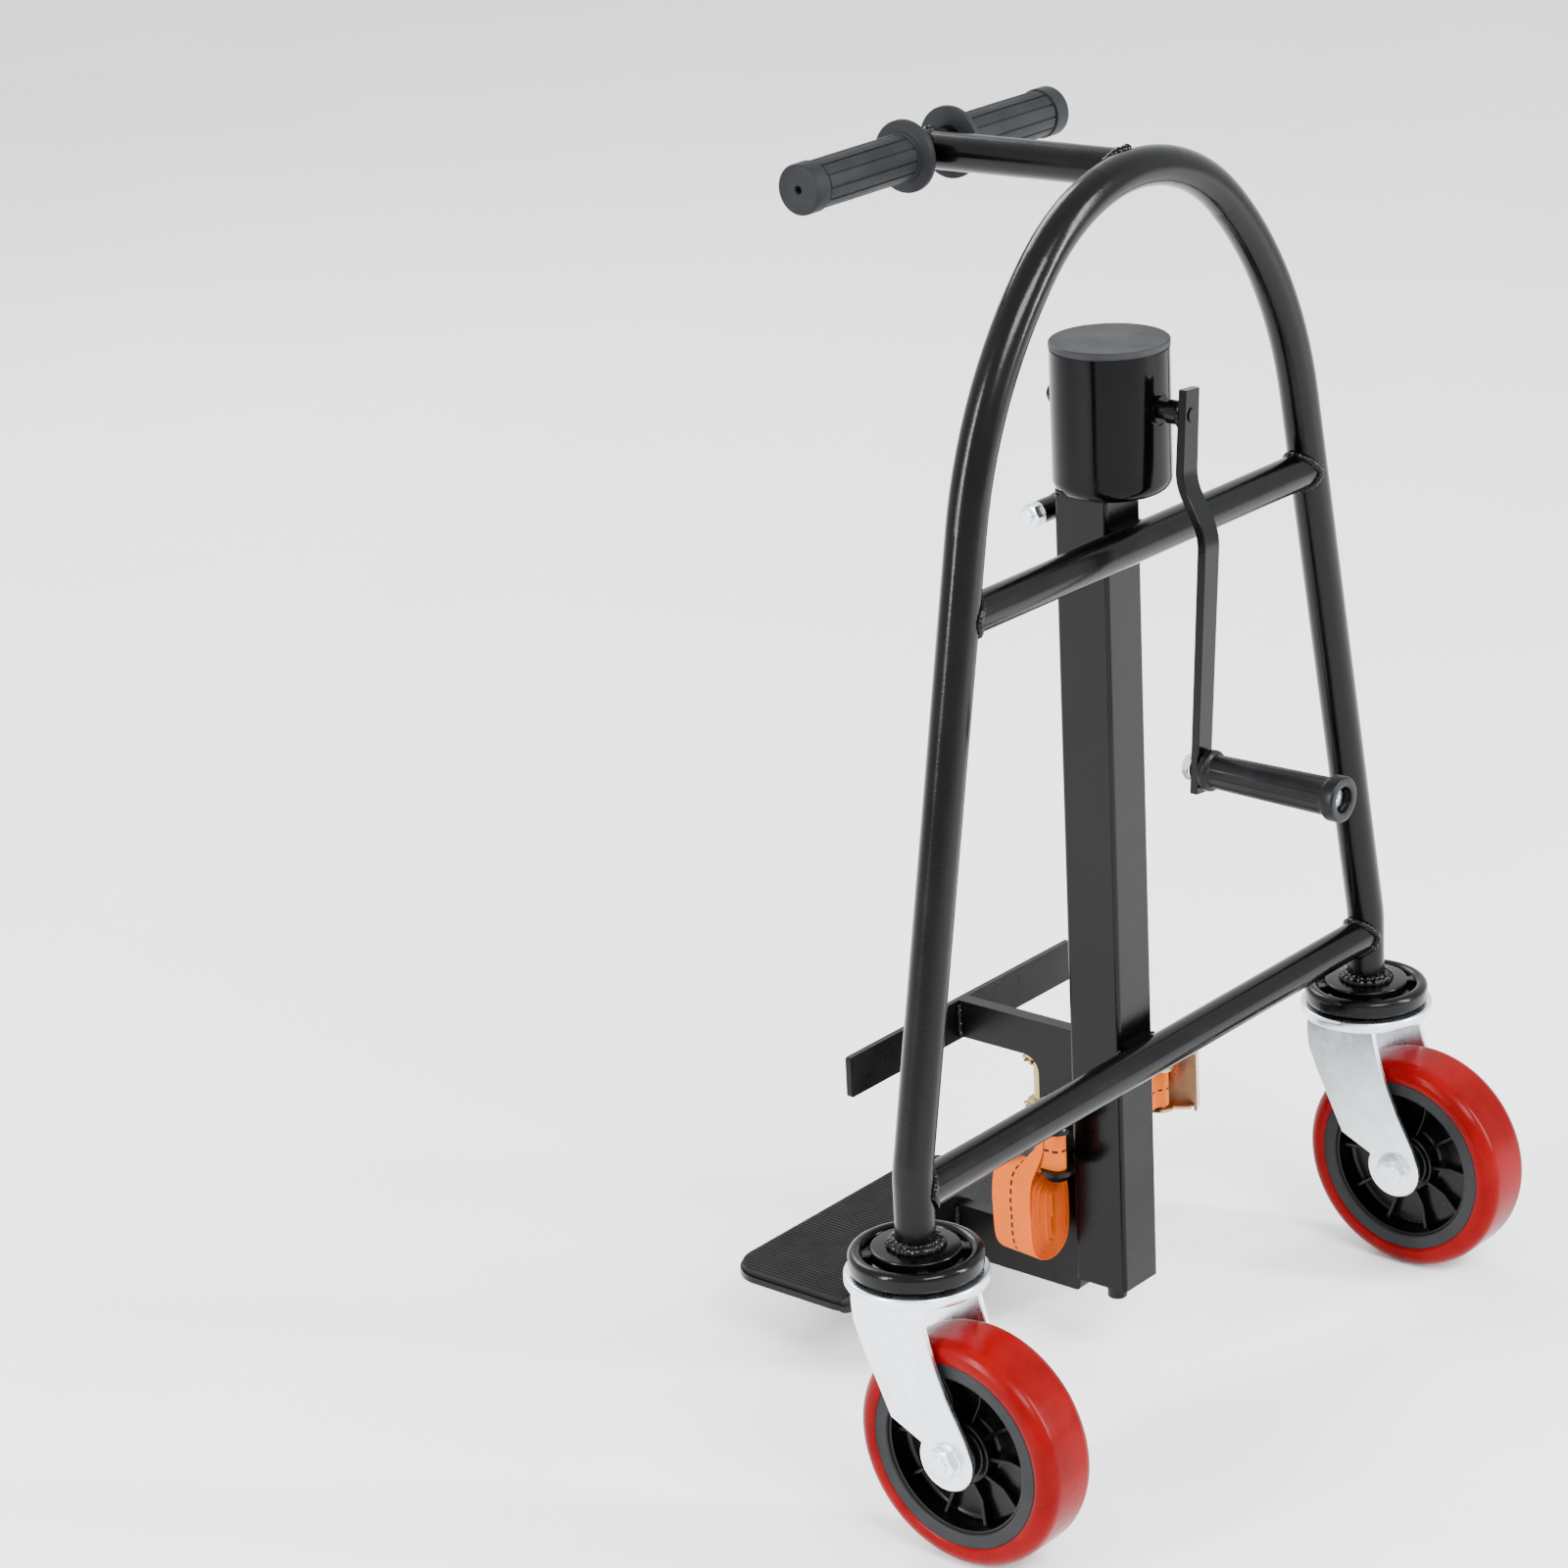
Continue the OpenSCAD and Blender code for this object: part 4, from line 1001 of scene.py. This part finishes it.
def short_strap():
    """Closed strap round the left lug bolt and the ratchet's pin; its plies cross beside both."""
    pin = ratchet_frame().to_translation()
    bolt = Vector((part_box("lug_bolts")[0].x + HEX_M8_REACH, mid("lug_bolts").y, pin.z))
    line = (pin - bolt).normalized()
    side = Vector((-line.y, line.x, 0))
    span = (pin - bolt).length
    stations = (12, 18, 24, span / MM - 10)
    swing = range(-140, 141, 14)

    def around(centre, r, degrees):
        a = math.radians(degrees)
        return centre + r * (line * math.cos(a) + side * math.sin(a))

    path = [around(bolt, 5.3 * MM, 180 + d) for d in swing]
    path += [bolt + line * t * MM + side * 0.8 * MM for t in stations]
    path += [around(pin, 4.2 * MM, d) for d in swing]
    path += [bolt + line * t * MM - side * 0.8 * MM for t in reversed(stations)]
    ribbon("short_strap_webbing", path, [Z] * len(path), "ratchet", ["strap_short"], closed=True)


# ---- ratchet details ----

def coil(shape, matrix, r, wire, length, windings):
    """A coil spring along the matrix's Z."""
    per_winding, sides = 16, 6
    count = windings * per_winding
    path = []
    for k in range(count + 1):
        a = 2 * math.pi * k / per_winding
        path.append(matrix @ Vector((r * math.cos(a), r * math.sin(a), length * k / count)))
    verts = []
    for i, p in enumerate(path):
        axis_point = matrix @ Vector((0, 0, length * i / count))
        out = (p - axis_point).normalized()
        side = heading(path, i).cross(out).normalized()
        for b in turns(sides):
            verts.append(p + wire * (math.cos(b) * out + math.sin(b) * side))
    shape.add(verts, grid(len(path), sides) + caps(sides, len(verts)))


def ratchet_details():
    place = ratchet_frame()
    spring = Shape()
    for z in (-7, 7):
        seat = place @ Matrix.Translation((46 * MM, -9.6 * MM, z * MM))
        turned = seat @ Matrix.Rotation(math.radians(-90), 4, "Y")
        coil(spring, turned @ Matrix.Rotation(math.radians(-11), 4, "X"),
             r=2.6 * MM, wire=0.45 * MM, length=16 * MM, windings=8)
    spring.build("pawl_springs", "zinc", "ratchet_lever")

    grip = Shape()
    half_z = 20.5
    mm = [(-22.0, -14.5), *arc((-18.6, -16.6), 3.4, 180, 262, 5), (0, -20.3), (22.5, -20.3),
          (22.5, -18.4), (0, -18.4), *arc((-18.4, -16.4), 1.8, 268, 180, 4), (-20.2, -14.5)]
    plate = place @ Matrix.Translation((0, 0, -half_z * MM))
    grip.slab(metres(mm), plate, 2 * half_z * MM, 0.3 * MM)
    for z in (-half_z - 0.2, half_z - 1.6):
        rim = [(-19, -20.2), (22, -20.2), (22, -15), (-14, -13.4), (-19, -15)]
        grip.slab(metres(rim), place @ Matrix.Translation((0, 0, z * MM)), 1.8 * MM, 0.4 * MM)
    grip.build("ratchet_grip_plate", "ratchet_rose", "ratchet_lever")

    ends = Shape()
    for face in (1, -1):
        top = place @ Matrix.Translation((80 * MM, 0, face * 20.6 * MM))
        if face < 0:
            top = top @ Matrix.Rotation(math.pi, 4, "X")
        ends.lathe(metres([(7.2, 0), (9.4, 0), (9.6, 0.3), (9.2, 1.2), (7.2, 1.4)]), top, steps=48,
                   closed=True)
    ends.build("spool_retainers", "zinc", "spool")


# ---- the whole object ----

def build_all():
    frame_welds()
    handle_welds()
    housing_weld()
    lug_welds()
    bar_grip("handle_grip_left", "grip_left", -1)
    bar_grip("handle_grip_right", "grip_right", 1)
    crank_arm()
    crank_grip()
    crank_spindle()
    lead_screw()
    cross_bolt()
    shaft_nut()
    lug_bolts()
    pad_ribs()
    carriage_welds()
    caster_caps()
    for label, side in (("left", -1), ("right", 1)):
        caster_fork(label, side)
        caster_axle(label, side)
        wheel(label, side)
    strap_roll()
    short_strap()
    ratchet_details()


add_camera()
add_studio()
add_floor(floor_finish())
dress_frame()
build_all()
